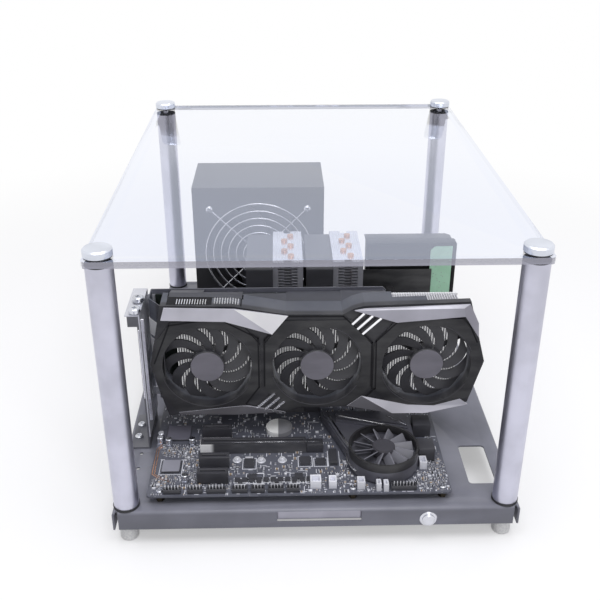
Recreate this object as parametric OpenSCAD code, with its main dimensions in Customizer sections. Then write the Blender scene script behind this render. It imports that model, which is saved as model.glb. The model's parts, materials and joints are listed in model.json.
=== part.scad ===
// Open air test bench: a folded tray on four round posts under a glass lid,
// carrying a mainboard, an upright graphics card, a power supply, a twin tower
// cooler and a disk drive. Origin: on the ground, midway between the posts.
// +X is right, +Y is back, +Z is up. All sizes are in millimetres.

/* [Posts and lid] */
// Distance between post axes, left to right
post_span_x = 303; // [296:1:330]
// Distance between post axes, front to back
post_span_y = 401; // [401:1:440]
// Distance from a post axis to the edges of tray and glass
edge_margin = 10.5; // [10.5:0.5:14]
// Outside diameter of a post
post_d = 20; // [17:0.5:21]
// Wall of a post tube
post_wall = 2; // [1.5:0.5:3]
// Length of a post tube
post_len = 208.5; // [190:0.5:260]
// Length of the threaded plug in each end of a post
plug_len = 15; // [15:1:30]
// Thickness of the ring under a post
foot_ring_t = 2; // [1:0.5:3]
// Thickness of the thin rings above and below the glass
thin_ring_t = 1; // [0.5:0.5:2]
// Outside diameter of a lid cap
cap_d = 21; // [18:0.5:24]
// Height of a lid cap
cap_h = 5.5; // [4:0.5:9]
// Thickness of the glass lid
glass_t = 5; // [4:0.5:8]
// Corner radius of the glass lid
glass_corner_r = 4; // [2:0.5:8]

/* [Tray] */
// Clear height under the folded edge of the tray
tray_clear = 15; // [10:1:30]
// Height of the folded edge
flange_h = 17; // [16:0.5:24]
// Thickness of the tray sheet
sheet_t = 1.5; // [1:0.25:2]
// Inside radius of the tray's folds
fold_r = 1; // [0.5:0.25:2]
// Length cut off each end of the front and back folds
corner_relief = 4.5; // [3:0.5:8]
// Diameter of a rubber foot
foot_d = 15; // [12:0.5:18]
// Width of the cable slot at the right
cable_slot_w = 22.5; // [10:0.5:24]
// Length of the cable slot
cable_slot_l = 51.5; // [20:0.5:80]
// Corner radius of the cable slot
cable_slot_r = 3; // [1:0.5:4]
// Width of the window in the front fold
window_w = 67; // [40:1:80]
// Height of the window in the front fold
window_h = 10.5; // [6:0.5:11]
// Distance of the power button from the middle, to the right
button_x = 89; // [60:1:120]
// Diameter of the power button's bezel
bezel_d = 14; // [13.5:0.25:14.5]
// How far the power button travels
button_travel = 1.5; // [1:0.25:2]

/* [Mainboard] */
// Mainboard size from its port edge to its free edge
board_w = 244; // [244:1:250]
// Mainboard size from front to back
board_d = 305; // [300:1:306]
// Thickness of the mainboard
board_t = 1.6; // [1.2:0.1:2]
// Height of a standoff
standoff_h = 6.5; // [5:0.5:10]
// Distance from the front edge of the board to the graphics card slot
card_slot_in = 119.3; // [118:0.1:121]
// Outside diameter of the chipset fan's wall
chip_fan_d = 58; // [50:1:60]
// Height of the chipset fan's wall
chip_fan_h = 9.5; // [8:0.5:11]
// Number of blades on the chipset fan
chip_blades = 12; // [8:1:14]

/* [Graphics card] */
// Length of the card's shroud
shroud_l = 282; // [278:1:284]
// Height of the card's shroud
shroud_h = 108; // [106:1:110]
// Distance between neighbouring card fans
card_fan_pitch = 92.7; // [90:0.1:93]
// Radius of a card fan at its blade tips
card_rotor_r = 36.5; // [34:0.5:37]
// Radius of a card fan's hub
card_hub_r = 14.4; // [12.5:0.1:16]
// Blades on each card fan
card_blades = 11; // [7:1:13]
// Gap between a fan's blade tips and its duct
tip_gap = 1.2; // [0.8:0.1:1.5]
// Pitch of the card's cooling fins
card_fin_pitch = 4; // [3.5:0.5:6]

/* [Power supply] */
// Power supply size along the bench's width
supply_w = 141; // [138:1:150]
// Power supply size from front to back
supply_d = 86; // [80:1:90]
// Power supply height
supply_h = 150; // [145:1:155]
// Size of the power supply's fan frame
supply_fan_size = 120; // [110:1:120]
// Diameter of the guard wire
guard_wire_d = 2; // [1.5:0.1:2.5]

/* [Processor cooler] */
// Width of one fin tower
tower_w = 28; // [26:0.5:30]
// Depth of one fin tower
tower_d = 75; // [70:1:80]
// Height of a fin tower
tower_h = 92; // [80:1:96]
// Size of a cooler fan's frame
tower_fan_size = 80; // [76:1:82]
// Depth of a cooler fan's frame
tower_fan_t = 25; // [20:1:25]
// Diameter of a heat pipe
pipe_d = 6; // [5:0.5:6.5]
// Pitch of the cooler's fins
tower_fin_pitch = 3; // [2.5:0.25:4]

/* [Disk drive] */
// Length of the drive, along the bench's width
drive_l = 98; // [90:1:99]
// Thickness of the drive
drive_t = 12.5; // [9.5:0.5:15]
// Height of the drive on its edge
drive_h = 70; // [65:1:72]
// Sheet thickness of the drive and card brackets
bracket_t = 1.5; // [1:0.25:2]

/* [Hidden] */
$fn = 48;
// Overrun of every cut
cut = 1;
// Running clearance of a shaft or plunger, on the radius
run_gap = 0.05;
// Gap that keeps neighbouring pieces from rubbing
seat_gap = 0.3;

tray_x = post_span_x + 2*edge_margin;
tray_y = post_span_y + 2*edge_margin;
deck_z = tray_clear + flange_h;
deck_under_z = deck_z - sheet_t;
fold_out_r = fold_r + sheet_t;
front_y = -tray_y/2;
left_x = -tray_x/2;
right_x = tray_x/2;
post_z = deck_z + foot_ring_t;
post_top_z = post_z + post_len;
glass_z = post_top_z + thin_ring_t;
lid_top_z = glass_z + glass_t;
cap_z = lid_top_z + thin_ring_t;
post_spots = [for (sx = [-1, 1], sy = [-1, 1]) [sx*post_span_x/2, sy*post_span_y/2]];
plug_d = post_d - 2*post_wall - 2*run_gap;
stud_d = 5;
stud_reach = plug_len*0.6;
stud_hole_d = 6;
ring_hole_d = stud_hole_d;
ring_lap = 0.5;
ring_d = post_d + 2*ring_lap;
foot_edge_r = 2;

cable_slot_from_right = 12.5;
cable_slot_from_front = 29.5;
cable_slot_x = right_x - cable_slot_from_right - cable_slot_w/2;
cable_slot_y = front_y + cable_slot_from_front + cable_slot_l/2;
window_x = 2;
window_top_in = 1.5;
window_z = deck_z - window_top_in - window_h/2;
label_t = 1.2;
label_lap = 5;
label_slit = 1.8;
button_drop = 2;
button_z = deck_z - flange_h/2 - button_drop;
terminal_w = 2;
terminal_t = 0.8;
terminal_l = 5;
bezel_t = 1.2;
barrel_d = 12;
barrel_l = 14;
plunger_d = 10 - 2*run_gap;
plunger_hole_d = 10;
plunger_l = 7;
plunger_left = 0.2;
plunger_proud = button_travel + plunger_left;
button_floor_t = 2;
button_nut_af = 15;
button_nut_t = 2.5;

board_from_left = 26.5;
board_from_front = 9.5;
board_x = left_x + board_from_left;
board_y = front_y + board_from_front;
board_z = deck_z + standoff_h;
board_top_z = board_z + board_t;
board_corner_r = 3;
// Holes of the board, from its port edge and from its front edge
board_hole_x = [10.16, 165.1, 237.49];
board_hole_y = [6.35, 130.81, 288.29];
board_hole_d = 4;
board_spots = [for (hx = board_hole_x, hy = board_hole_y) [board_x + hx, board_y + hy]];
standoff_af = 6;
small_screw_d = 2.9;
small_tap_d = 3;
small_head_d = 5.6;
small_head_h = 1.8;
panel_screw_d = 3.4;
panel_tap_d = 3.5;
panel_head_d = 7;
panel_head_h = 2.2;
panel_screw_l = 6;
standoff_stud_out = 2;
standoff_stud_l = sheet_t + standoff_stud_out;
standoff_bore_l = 5;

// Standard distance between neighbouring expansion slots
slot_pitch = 20.32;
slot_in = 39.5;
slot_x = board_x + slot_in;
slot_w = 7.5;
slot_h = 11;
long_slot_l = 89;
short_slot_l = 25;
slot_groove_w = 2;
slot_groove_h = 8.5;
slot_wall = 2.2;
shield_t = 0.5;
latch_l = 14;
latch_w = 9;
card_slot_y = board_y + card_slot_in;

chip_fan_in_x = 192.5;
chip_fan_in_y = 38.5;
chip_sink_lift = 1.5;
chip_fan_x = board_x + chip_fan_in_x;
chip_fan_y = board_y + chip_fan_in_y;
chip_sink_z = board_top_z + chip_sink_lift;
chip_sink_t = 8;
chip_fan_z = chip_sink_z + chip_sink_t;
chip_wall_t = 1.8;
chip_floor_t = 0.2;
chip_tip_gap = 1.5;
chip_rotor_gap = 0.8;
chip_hub_drop = 1.6;
chip_hub_edge = 0.8;
chip_blade_tilt = 38;
chip_pin_share = 0.7;
chip_hub_r = 9.5;
chip_pin_d = 2;
chip_blade_t = 0.8;

card_in_x = 139.5;
card_mid_up = 74.3;
card_fan_up = 69.4;
card_x = board_x + card_in_x;
card_mid_z = board_top_z + card_mid_up;
card_fan_z = board_top_z + card_fan_up;
card_front_in = 38.3;
card_front_y = card_slot_y - card_front_in;
card_board_t = 1.6;
card_board_l = 198;
card_board_in = 1.5;
card_board_gap = 2;
card_board_x = board_x + card_board_in;
card_board_z = board_top_z + slot_h + card_board_gap;
card_board_h = 107;
shroud_t = 2.5;
shroud_wall = 2.2;
shroud_d = 26;
duct_wall = 1.8;
duct_l = 15;
duct_r = card_rotor_r + tip_gap;
card_hub_h = 12;
card_pin_d = 3;
card_pin_l = 8.5;
card_pin_wall = 1.5;
rotor_in = 1;
rotor_back_gap = 1;
blade_root = 0.6;
card_blade_tilt = 14;
card_fill_share = 0.72;
mount_t = 1.8;
mount_arm_w = 4;
motor_d = 22;
motor_plate_d = 25;
card_fan_off = 0.7;
card_fan_x = [for (i = [-1:1]) card_x - card_fan_off + i*card_fan_pitch];
fin_t = 0.6;
fin_base_t = 1.6;
fin_front_y = card_front_y + shroud_t + duct_l + mount_t + seat_gap;
fin_back_y = card_slot_y - card_board_t/2 - seat_gap;
backplate_t = 1.2;
backplate_gap = 2;
backplate_over = 3.3;
backplate_left = 3.5;
backplate_y = card_slot_y + card_board_t/2 + backplate_gap;

card_bracket_out = 5.5;
card_bracket_x = board_x - card_bracket_out;
card_bracket_t = 1;
card_bracket_lead = 7;
card_bracket_w = 50;
card_bracket_flange = 12;
card_bracket_up = 4;
card_tab = 8;
card_hole_slack = 1;
stand_foot_l = 17;
stand_w = card_bracket_w;
stand_y = card_front_y - card_bracket_lead;
stand_screw_x = 10.5;
stand_screw_y = 15.5;
stand_screw_pitch = 18;
spare_x = 5.5;
spare_y = 7;
stand_over = 1;
stand_top_z = card_board_z + card_board_h + stand_over;
stand_lip = 6;
stand_fold = 8;
stand_hole_d = 12;
stand_hole_up = 22;
stand_hole_step = 28;
stand_x = card_bracket_x - card_bracket_t - bracket_t;
thumb_pitch = slot_pitch;
thumb_lead = 2.5;
thumb_out = 4.2;
thumb_y = card_front_y - thumb_lead;
thumb_x = card_bracket_x - thumb_out;
thumb_head_d = 9.6;
thumb_head_h = 5;

supply_from_left = 41.5;
supply_x = left_x + supply_from_left;
supply_y = tray_y/2 - supply_d;
supply_wall = 1;
supply_fan_t = 25;
supply_fan_edge = 3;
supply_fan_r = supply_fan_size/2 - supply_fan_edge;
supply_blades = 7;
supply_blade_tilt = 15;
supply_fill_share = 0.8;
hub_cap_t = 2;
supply_hub_r = 20;
supply_fan_mid_x = supply_x + supply_w/2;
supply_fan_drop = 1;
supply_fan_mid_z = deck_z + supply_h/2 - supply_fan_drop;
supply_opening_edge = 2;
supply_opening_r = supply_fan_size/2 - supply_opening_edge;
supply_spread_share = 0.4375;
screw_spread = supply_fan_size*supply_spread_share;
guard_rings = 6;
guard_first_share = 0.14;
guard_step_share = 0.0687;
guard_ring_r = [for (i = [0:guard_rings - 1])
    supply_fan_size*(guard_first_share + i*guard_step_share)];
guard_gap = 0.4;
inlet_w = 27.5;
inlet_h = 20;
inlet_lip = 2;
inlet_wall = 1.4;
inlet_floor = 1.5;
inlet_pin_w = 2;
inlet_pin_in = 2;
inlet_gap = 0.2;
rocker_w = 11;
rocker_l = 19;
rocker_deg = 8;

cooler_in_x = 143.5;
cooler_from_back = 86;
cooler_x = board_x + cooler_in_x;
cooler_y = board_y + board_d - cooler_from_back;
tower_pitch = 56;
tower_top_up = 119;
tower_top_z = board_top_z + tower_top_up;
tower_z = tower_top_z - tower_h;
tower_notch_w = 7;
tower_notch_d = 5;
tower_fin_t = 0.8;
tower_plate_t = 1.2;
tab_t = 0.8;
tab_w = 5;
socket_h = 6;
socket_w = 54;
socket_d = 58;
spreader_h = 2.5;
pipe_bend_r = 8;
cooler_base_d = 64;
cooler_base_h = 12;
cooler_base_z = board_top_z + socket_h + spreader_h;
pipe_count = 5;
pipe_pitch = 12;
pipe_zigzag = 3;
pipe_over = 2;
cooler_base_w = tower_pitch - 2*(pipe_zigzag + pipe_bend_r);
pipe_low_z = cooler_base_z + cooler_base_h/2;
tower_fan_drop = 1.5;
tower_hub_r = 16;
tower_blades = 9;
tower_blade_tilt = 15;
tower_fill_share = 0.82;
tower_fan_edge = 2;
tower_spread_share = 0.446;

drive_overhang = 2;
drive_gap = 3;
drive_up = 22.5;
drive_x = right_x + drive_overhang - drive_l;
drive_y = board_y + board_d + drive_gap;
drive_z = deck_z + drive_up;
drive_back_short = 4;
drive_flange = 14;
drive_flange_bevel = 5;
drive_foot_in = 8;
lip_out = 6;
lip_l = 78;
lip_h = 62;
drive_back_y = drive_y + drive_t;

// Flat outline with round corners, centred
module rounded_outline(w, d, r) {
    square([w - 2*r, d], center = true);
    square([w, d - 2*r], center = true);
    for (sx = [-1, 1], sy = [-1, 1])
        translate([sx*(w/2 - r), sy*(d/2 - r)]) circle(r);
}

module ring(outer_d, inner_d, h) {
    difference() {
        cylinder(d = outer_d, h = h);
        translate([0, 0, -cut]) cylinder(d = inner_d, h = h + 2*cut);
    }
}

// Section of a fold: u points outward, the deck's top face is at v = 0
module fold_section() {
    intersection() {
        translate([-fold_out_r, -fold_out_r]) difference() {
            circle(fold_out_r);
            circle(fold_r);
        }
        translate([-fold_out_r, -fold_out_r]) square(fold_out_r);
    }
    translate([-sheet_t, -flange_h]) square([sheet_t, flange_h - fold_out_r]);
}

// One folded edge, its outer face at y = -reach
module folded_edge(length, reach) {
    translate([length/2, -reach, deck_z]) rotate([90, 0, -90])
        linear_extrude(length) fold_section();
}

module base_tray() {
    color("#6b6b73") difference() {
        union() {
            translate([left_x + fold_out_r, front_y + fold_out_r, deck_under_z])
                cube([tray_x - 2*fold_out_r, tray_y - 2*fold_out_r, sheet_t]);
            for (turn = [0, 180]) rotate([0, 0, turn])
                folded_edge(tray_x - 2*corner_relief, tray_y/2);
            for (turn = [90, 270]) rotate([0, 0, turn])
                folded_edge(tray_y, tray_x/2);
        }
        for (p = post_spots) deck_hole(p, stud_hole_d);
        for (p = board_spots) deck_hole(p, small_tap_d + 2*run_gap);
        for (p = concat(stand_spots(), spare_spots(), drive_foot_spots()))
            deck_hole(p, panel_tap_d);
        translate([cable_slot_x, cable_slot_y, deck_under_z - cut])
            linear_extrude(sheet_t + 2*cut)
                rounded_outline(cable_slot_w, cable_slot_l, cable_slot_r);
        translate([window_x - window_w/2, front_y - cut, window_z - window_h/2])
            cube([window_w, sheet_t + 2*cut, window_h]);
        translate([button_x, front_y - cut, button_z]) rotate([-90, 0, 0])
            cylinder(d = barrel_d + 2*run_gap, h = sheet_t + 2*cut);
    }
}

module deck_hole(p, d) {
    translate([p.x, p.y, deck_under_z - cut]) cylinder(d = d, h = sheet_t + 2*cut);
}

function stand_spots() = [for (i = [0, 1]) [stand_x - stand_screw_x,
    stand_y + stand_screw_y + i*stand_screw_pitch]];
function spare_spots() = [for (i = [0, 1]) [stand_x - spare_x,
    stand_y - spare_y - i*slot_pitch]];
function drive_foot_spots() = [for (s = [0.2, 0.8]) [drive_x + drive_l*s,
    drive_back_y + bracket_t + drive_foot_in]];

module label_plate() {
    color("#8d8d96")
        translate([window_x - window_w/2 - label_lap, front_y + sheet_t,
            window_z - window_h/2 + label_slit])
            cube([window_w + 2*label_lap, label_t,
                deck_z - fold_out_r - window_z + window_h/2 - label_slit]);
}

module feet() {
    color("#e9e9ef") for (p = post_spots) translate(p) {
        rotate_extrude() {
            translate([0, foot_edge_r]) square([foot_d/2, deck_under_z - foot_edge_r]);
            square([foot_d/2 - foot_edge_r, foot_edge_r + cut]);
            translate([foot_d/2 - foot_edge_r, foot_edge_r]) circle(foot_edge_r);
        }
        cylinder(d = stud_d, h = post_z + stud_reach);
    }
}

module post_washers() {
    color("#26262a") for (p = post_spots) translate(p) {
        translate([0, 0, deck_z]) ring(ring_d, ring_hole_d, foot_ring_t);
        for (z = [post_top_z, lid_top_z])
            translate([0, 0, z]) ring(post_d, ring_hole_d, thin_ring_t);
    }
}

module post_at(sx, sy) {
    color("#bfc0cc") translate([sx*post_span_x/2, sy*post_span_y/2, post_z])
        ring(post_d, post_d - 2*post_wall, post_len);
}

module post_plugs() {
    color("#8a8a90") for (p = post_spots, z = [post_z, post_top_z - plug_len])
        translate([p.x, p.y, z]) ring(plug_d, stud_d + 2*run_gap, plug_len);
}

module caps() {
    chamfer = cap_h/5;
    color("#e2e4eb") for (p = post_spots) translate([p.x, p.y, cap_z]) {
        rotate_extrude() polygon([[0, 0], [cap_d/2, 0], [cap_d/2, cap_h - chamfer],
            [cap_d/2 - chamfer, cap_h], [0, cap_h]]);
        translate([0, 0, post_top_z - stud_reach - cap_z])
            cylinder(d = stud_d, h = cap_z - post_top_z + stud_reach);
    }
}

module glass_top() {
    color([0.85, 0.9, 0.95, 0.35]) translate([0, 0, glass_z]) difference() {
        linear_extrude(glass_t) rounded_outline(tray_x, tray_y, glass_corner_r);
        for (p = post_spots) translate([p.x, p.y, -cut])
            cylinder(d = stud_hole_d, h = glass_t + 2*cut);
    }
}

// Local +Z points out of the front fold
module at_button() {
    translate([button_x, front_y, button_z]) rotate([90, 0, 0]) children();
}

module button_body() {
    color("#d5d6dd") at_button() difference() {
        union() {
            rotate_extrude() polygon([[0, 0], [bezel_d/2, 0], [bezel_d/2, bezel_t/2],
                [bezel_d/2 - bezel_t/2, bezel_t], [0, bezel_t]]);
            translate([0, 0, -barrel_l]) cylinder(d = barrel_d, h = barrel_l + bezel_t/2);
            for (sx = [-1, 1])
                translate([sx*barrel_d/4 - terminal_w/2, -terminal_t/2,
                    -barrel_l - terminal_l])
                    cube([terminal_w, terminal_t, terminal_l + cut]);
        }
        translate([0, 0, button_floor_t - barrel_l])
            cylinder(d = plunger_hole_d, h = barrel_l + bezel_t);
    }
}

module button_plunger() {
    edge = 0.8;
    color("#c4c6d2") at_button() translate([0, 0, bezel_t + plunger_proud - plunger_l])
        rotate_extrude() polygon([[0, 0], [plunger_d/2, 0],
            [plunger_d/2, plunger_l - edge], [plunger_d/2 - edge, plunger_l],
            [0, plunger_l]]);
}

module button_nut() {
    color("#9b9ca4") at_button() translate([0, 0, -sheet_t - button_nut_t]) difference() {
        cylinder(d = button_nut_af/cos(30), h = button_nut_t, $fn = 6);
        translate([0, 0, -cut])
            cylinder(d = barrel_d + 2*run_gap, h = button_nut_t + 2*cut);
    }
}

module board_standoffs() {
    color("#c9a24b") for (p = board_spots) translate([p.x, p.y, deck_z]) difference() {
        union() {
            cylinder(d = standoff_af/cos(30), h = standoff_h, $fn = 6);
            translate([0, 0, -standoff_stud_l])
                cylinder(d = small_tap_d, h = standoff_stud_l + cut);
        }
        translate([0, 0, standoff_h - standoff_bore_l])
            cylinder(d = small_screw_d + 2*run_gap, h = standoff_bore_l + cut);
    }
}

// Pan-head screw standing on its seat at z = 0, shank downwards
module pan_screw(head_d, head_h, shank_d, shank_l) {
    difference() {
        rotate_extrude() polygon([[0, 0], [head_d/2, 0], [head_d/2, head_h*0.5],
            [head_d/2 - head_h*0.5, head_h], [0, head_h]]);
        for (turn = [0, 90]) rotate([0, 0, turn])
            translate([-head_d*0.28, -head_h*0.16, head_h*0.45])
                cube([head_d*0.56, head_h*0.32, head_h]);
    }
    translate([0, 0, -shank_l]) cylinder(d = shank_d, h = shank_l + head_h*0.2);
}

module board_screws() {
    color("#c8c8cc") for (p = board_spots) translate([p.x, p.y, board_top_z])
        pan_screw(small_head_d, small_head_h, small_screw_d, board_t + standoff_bore_l*0.8);
}

module mainboard() {
    color("#3f4048") difference() {
        translate([board_x + board_w/2, board_y + board_d/2, board_z])
            linear_extrude(board_t) rounded_outline(board_w, board_d, board_corner_r);
        for (p = board_spots) translate([p.x, p.y, board_z - cut])
            cylinder(d = board_hole_d, h = board_t + 2*cut);
    }
}

// Box on the board: place and plan size are shares of the board, height is a length
module on_board(place_share, h) {
    translate([board_x + place_share[0]*board_w, board_y + place_share[1]*board_d,
        board_top_z])
        cube([place_share[2]*board_w, place_share[3]*board_d, h]);
}

// Rear ports: place along the edge, length as shares; height as a share of the tallest
port_share = [[0.500, 0.070, 0.85], [0.577, 0.045, 0.45], [0.627, 0.055, 1.00],
    [0.690, 0.060, 0.95], [0.757, 0.055, 0.50], [0.819, 0.055, 0.95],
    [0.881, 0.050, 0.45]];
port_depth = 20;
port_tall = 30;
port_proud = 3;
port_shell = 1;

module rear_ports() {
    color("#a9abb4") for (p = port_share) {
        length = p[1]*board_d;
        height = p[2]*port_tall;
        translate([board_x - port_proud, board_y + p[0]*board_d, board_top_z])
            difference() {
                cube([port_depth, length, height]);
                translate([-cut, port_shell, port_shell])
                    cube([port_depth*0.6 + cut, length - 2*port_shell,
                        height - 2*port_shell]);
                }
    }
}

sink_h = 24;
sink_grooves = 6;
sink_x_in = 21;
sink_w = 20;
sink_l = 98;
sink_gap = 8;
sink_from_back = 133;
sink_y_in = board_d - sink_from_back;

// Finned bar, its grooves along local Y
module finned_bar(w, l, h, grooves) {
    rib = w/(2*grooves + 1);
    difference() {
        cube([w, l, h]);
        for (i = [0:grooves - 1]) translate([rib*(2*i + 1), -cut, h*0.45])
            cube([rib, l + 2*cut, h]);
    }
}

module power_heat_sinks() {
    color("#54555e") {
        translate([board_x + sink_x_in, board_y + sink_y_in, board_top_z])
            finned_bar(sink_w, sink_l, sink_h, sink_grooves);
        translate([board_x + sink_x_in + sink_w + sink_gap,
            board_y + sink_y_in + sink_l + sink_w, board_top_z])
            rotate([0, 0, -90])
                finned_bar(sink_w, sink_l, sink_h, sink_grooves);
    }
}

module processor_socket() {
    lip = 4;
    color("#b4b5bb") translate([cooler_x, cooler_y, board_top_z]) {
        difference() {
            linear_extrude(socket_h) rounded_outline(socket_w, socket_d, lip/2);
            translate([0, 0, lip]) linear_extrude(socket_h)
                square([socket_w - 2*lip, socket_d - 2*lip], center = true);
        }
        translate([0, 0, lip - cut]) linear_extrude(socket_h + spreader_h - lip + cut)
            rounded_outline(socket_w - 3*lip, socket_d - 4*lip, lip/2);
    }
}

memory_x_in = 200;
memory_from_back = 141;
memory_y_in = board_d - memory_from_back;
memory_pitch = 9;
memory_l = 133;
memory_h = 31;
memory_w = 7;
memory_socket_h = 12;
memory_socket_w = 6.5;
memory_socket_over = 4;
memory_board_t = 1.2;
memory_slack = 0.4;
memory_groove_w = memory_board_t + memory_slack;
memory_groove_d = 5;

module memory_sockets() {
    color("#33343a") for (i = [0:3])
        translate([board_x + memory_x_in + i*memory_pitch,
            board_y + memory_y_in - memory_socket_over, board_top_z]) difference() {
            translate([-memory_socket_w/2, 0, 0])
                cube([memory_socket_w, memory_l + 2*memory_socket_over,
                    memory_socket_h]);
            translate([-memory_groove_w/2, memory_socket_over,
                memory_socket_h - memory_groove_d])
                cube([memory_groove_w, memory_l, memory_groove_d + cut]);
        }
}

module memory_modules() {
    lift = 0.5;
    color("#2b2c31") for (i = [1, 3])
        translate([board_x + memory_x_in + i*memory_pitch, board_y + memory_y_in,
            board_top_z + memory_socket_h]) {
            translate([-memory_board_t/2, seat_gap, lift - memory_groove_d])
                cube([memory_board_t, memory_l - 2*seat_gap, memory_h]);
            translate([-memory_w/2, seat_gap, lift])
                cube([memory_w, memory_l - 2*seat_gap, memory_h - memory_groove_d]);
            for (s = [-1, 1]) translate([s*memory_w/4 - memory_w/12, memory_l*0.15, lift])
                cube([memory_w/6, memory_l*0.7, memory_h]);
        }
}

// Slots, as steps of the slot pitch in front of the card's own slot
long_slots = [0, 3];
short_slots = [2, 4, 5];

module slot_body(step, length) {
    translate([slot_x, card_slot_y - step*slot_pitch, board_top_z]) difference() {
        translate([0, -slot_w/2, 0]) cube([length, slot_w, slot_h]);
        translate([slot_wall, -slot_groove_w/2, slot_h - slot_groove_h])
            cube([length - 2*slot_wall, slot_groove_w, slot_groove_h + cut]);
    }
}

module slot_bodies() {
    color("#2e2f35") {
        for (step = long_slots) {
            slot_body(step, long_slot_l);
            translate([slot_x + long_slot_l + seat_gap + shield_t,
                card_slot_y - step*slot_pitch - latch_w/2, board_top_z])
                cube([latch_l, latch_w, slot_h*0.75]);
        }
        for (step = short_slots) slot_body(step, short_slot_l);
    }
}

module slot_shields() {
    inner_l = long_slot_l + 2*run_gap;
    inner_w = slot_w + 2*run_gap;
    color("#c7c9d2") for (step = long_slots)
        translate([slot_x - run_gap, card_slot_y - step*slot_pitch, board_top_z])
            difference() {
                translate([-shield_t, -inner_w/2 - shield_t, 0])
                    cube([inner_l + 2*shield_t, inner_w + 2*shield_t, slot_h*0.86]);
                translate([0, -inner_w/2, -cut])
                    cube([inner_l, inner_w, slot_h + 2*cut]);
            }
}

// White plug sockets: x, y, width and depth as shares of the board
white_share = [[0.536, 0.020, 0.036, 0.030], [0.597, 0.020, 0.026, 0.026],
    [0.690, 0.014, 0.026, 0.026], [0.752, 0.006, 0.016, 0.022],
    [0.776, 0.004, 0.016, 0.022], [0.910, 0.094, 0.025, 0.030]];
white_h = 7.5;
white_wall = 1.2;
// Black plug sockets along the edges, as shares of the board
black_share = [[0.054, 0.007, 0.057, 0.016], [0.134, 0.007, 0.048, 0.016],
    [0.196, 0.007, 0.062, 0.016], [0.279, 0.007, 0.051, 0.018],
    [0.341, 0.007, 0.045, 0.018], [0.397, 0.007, 0.052, 0.018],
    [0.458, 0.007, 0.042, 0.018], [0.800, 0.008, 0.085, 0.020]];
header_h = 4;
processor_plug_share = [0.260, 0.955, 0.090, 0.030];
black_h = 8;
black_wall = 1.2;
// Right edge: two drive sockets and the long power socket
drive_socket_share = [[0.912, 0.128, 0.055, 0.051], [0.912, 0.241, 0.062, 0.050]];
drive_socket_h = 13;
power_socket_share = [0.950, 0.600, 0.040, 0.170];

module plug_socket(place_share, h, wall) {
    w = place_share[2]*board_w;
    d = place_share[3]*board_d;
    difference() {
        on_board(place_share, h);
        translate([board_x + place_share[0]*board_w + wall,
            board_y + place_share[1]*board_d + wall, board_top_z + h*0.35])
            cube([w - 2*wall, d - 2*wall, h]);
    }
}

module white_connectors() {
    color("#e4e6ee") for (p = white_share) plug_socket(p, white_h, white_wall);
}

module black_connectors() {
    mouth = 2.6;
    color("#2a2b30") {
        for (p = black_share) plug_socket(p, header_h, black_wall);
        plug_socket(processor_plug_share, black_h, black_wall);
        plug_socket(power_socket_share, drive_socket_h, black_wall);
        for (p = drive_socket_share) difference() {
            on_board(p, drive_socket_h);
            for (i = [0, 1])
                translate([board_x + (p[0] + p[2]*0.4)*board_w,
                    board_y + (p[1] + p[3]*0.15)*board_d,
                    board_top_z + drive_socket_h*(0.15 + 0.45*i)])
                    cube([p[2]*board_w, p[3]*board_d*0.7, mouth]);
        }
    }
}

// Flat chips and covers: x, y, width and depth as shares of the board
chip_share = [[0.035, 0.095, 0.062, 0.052], [0.032, 0.238, 0.085, 0.070],
    [0.316, 0.113, 0.032, 0.036], [0.506, 0.120, 0.034, 0.035],
    [0.485, 0.060, 0.028, 0.022], [0.330, 0.060, 0.028, 0.022],
    [0.560, 0.120, 0.032, 0.026], [0.620, 0.560, 0.050, 0.040],
    [0.760, 0.400, 0.050, 0.045]];
chip_h = 1.6;
chip_row_share = [0.285, 0.052, 0.018, 0.016];
chip_row_count = 11;
chip_row_step_share = 0.024;

module board_chips() {
    color("#26272c") {
        for (p = chip_share) on_board(p, chip_h);
        for (i = [0:chip_row_count - 1])
            on_board([chip_row_share[0] + i*chip_row_step_share, chip_row_share[1],
                chip_row_share[2], chip_row_share[3]], chip_h*0.8);
    }
}

// Can capacitors: centres as shares of the board
can_share = [[0.014, 0.251], [0.014, 0.230], [0.045, 0.222], [0.127, 0.222],
    [0.700, 0.470], [0.728, 0.470], [0.330, 0.545], [0.365, 0.545], [0.400, 0.545],
    [0.560, 0.545], [0.120, 0.060]];
can_d = 5.6;
can_h = 7;
can_base_h = 1;

module capacitors() {
    color("#c9cbd4") for (p = can_share)
        translate([board_x + p[0]*board_w, board_y + p[1]*board_d, board_top_z]) {
            translate([-can_d/2, -can_d/2, 0]) cube([can_d, can_d, can_base_h]);
            translate([0, 0, can_base_h]) rotate_extrude() polygon([[0, 0],
                [can_d*0.42, 0], [can_d*0.5, can_h*0.14], [can_d*0.5, can_h*0.78],
                [can_d*0.42, can_h*0.86], [0, can_h*0.86]]);
        }
}

cell_d = 20;
cell_h = 3.2;
cell_holder_h = 4.6;
cell_wall = 1.5;
cell_floor = 1;
cell_in_x = 106;
cell_in_y = 87;
cell_x = board_x + cell_in_x;
cell_y = board_y + cell_in_y;

module coin_cell() {
    color("#d4d6dd") translate([cell_x, cell_y, board_top_z]) {
        difference() {
            cylinder(d = cell_d + 2*cell_wall, h = cell_holder_h);
            translate([0, 0, cell_floor])
                cylinder(d = cell_d + 2*seat_gap, h = cell_holder_h);
        }
        translate([0, 0, cell_floor + seat_gap]) cylinder(d = cell_d, h = cell_h);
    }
}

// Heat spreading plate under the chipset fan, in sizes of the fan it carries
module chipset_plate_outline() {
    r = chip_fan_d/2;
    polygon([[-1.70*r, 2.15*r], [-1.00*r, 0.10*r], [-0.86*r, -0.50*r],
        [-0.50*r, -0.86*r], [0.50*r, -0.86*r], [0.86*r, -0.50*r], [1.00*r, 0],
        [1.00*r, 1.30*r], [0.90*r, 2.15*r]]);
}

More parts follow.
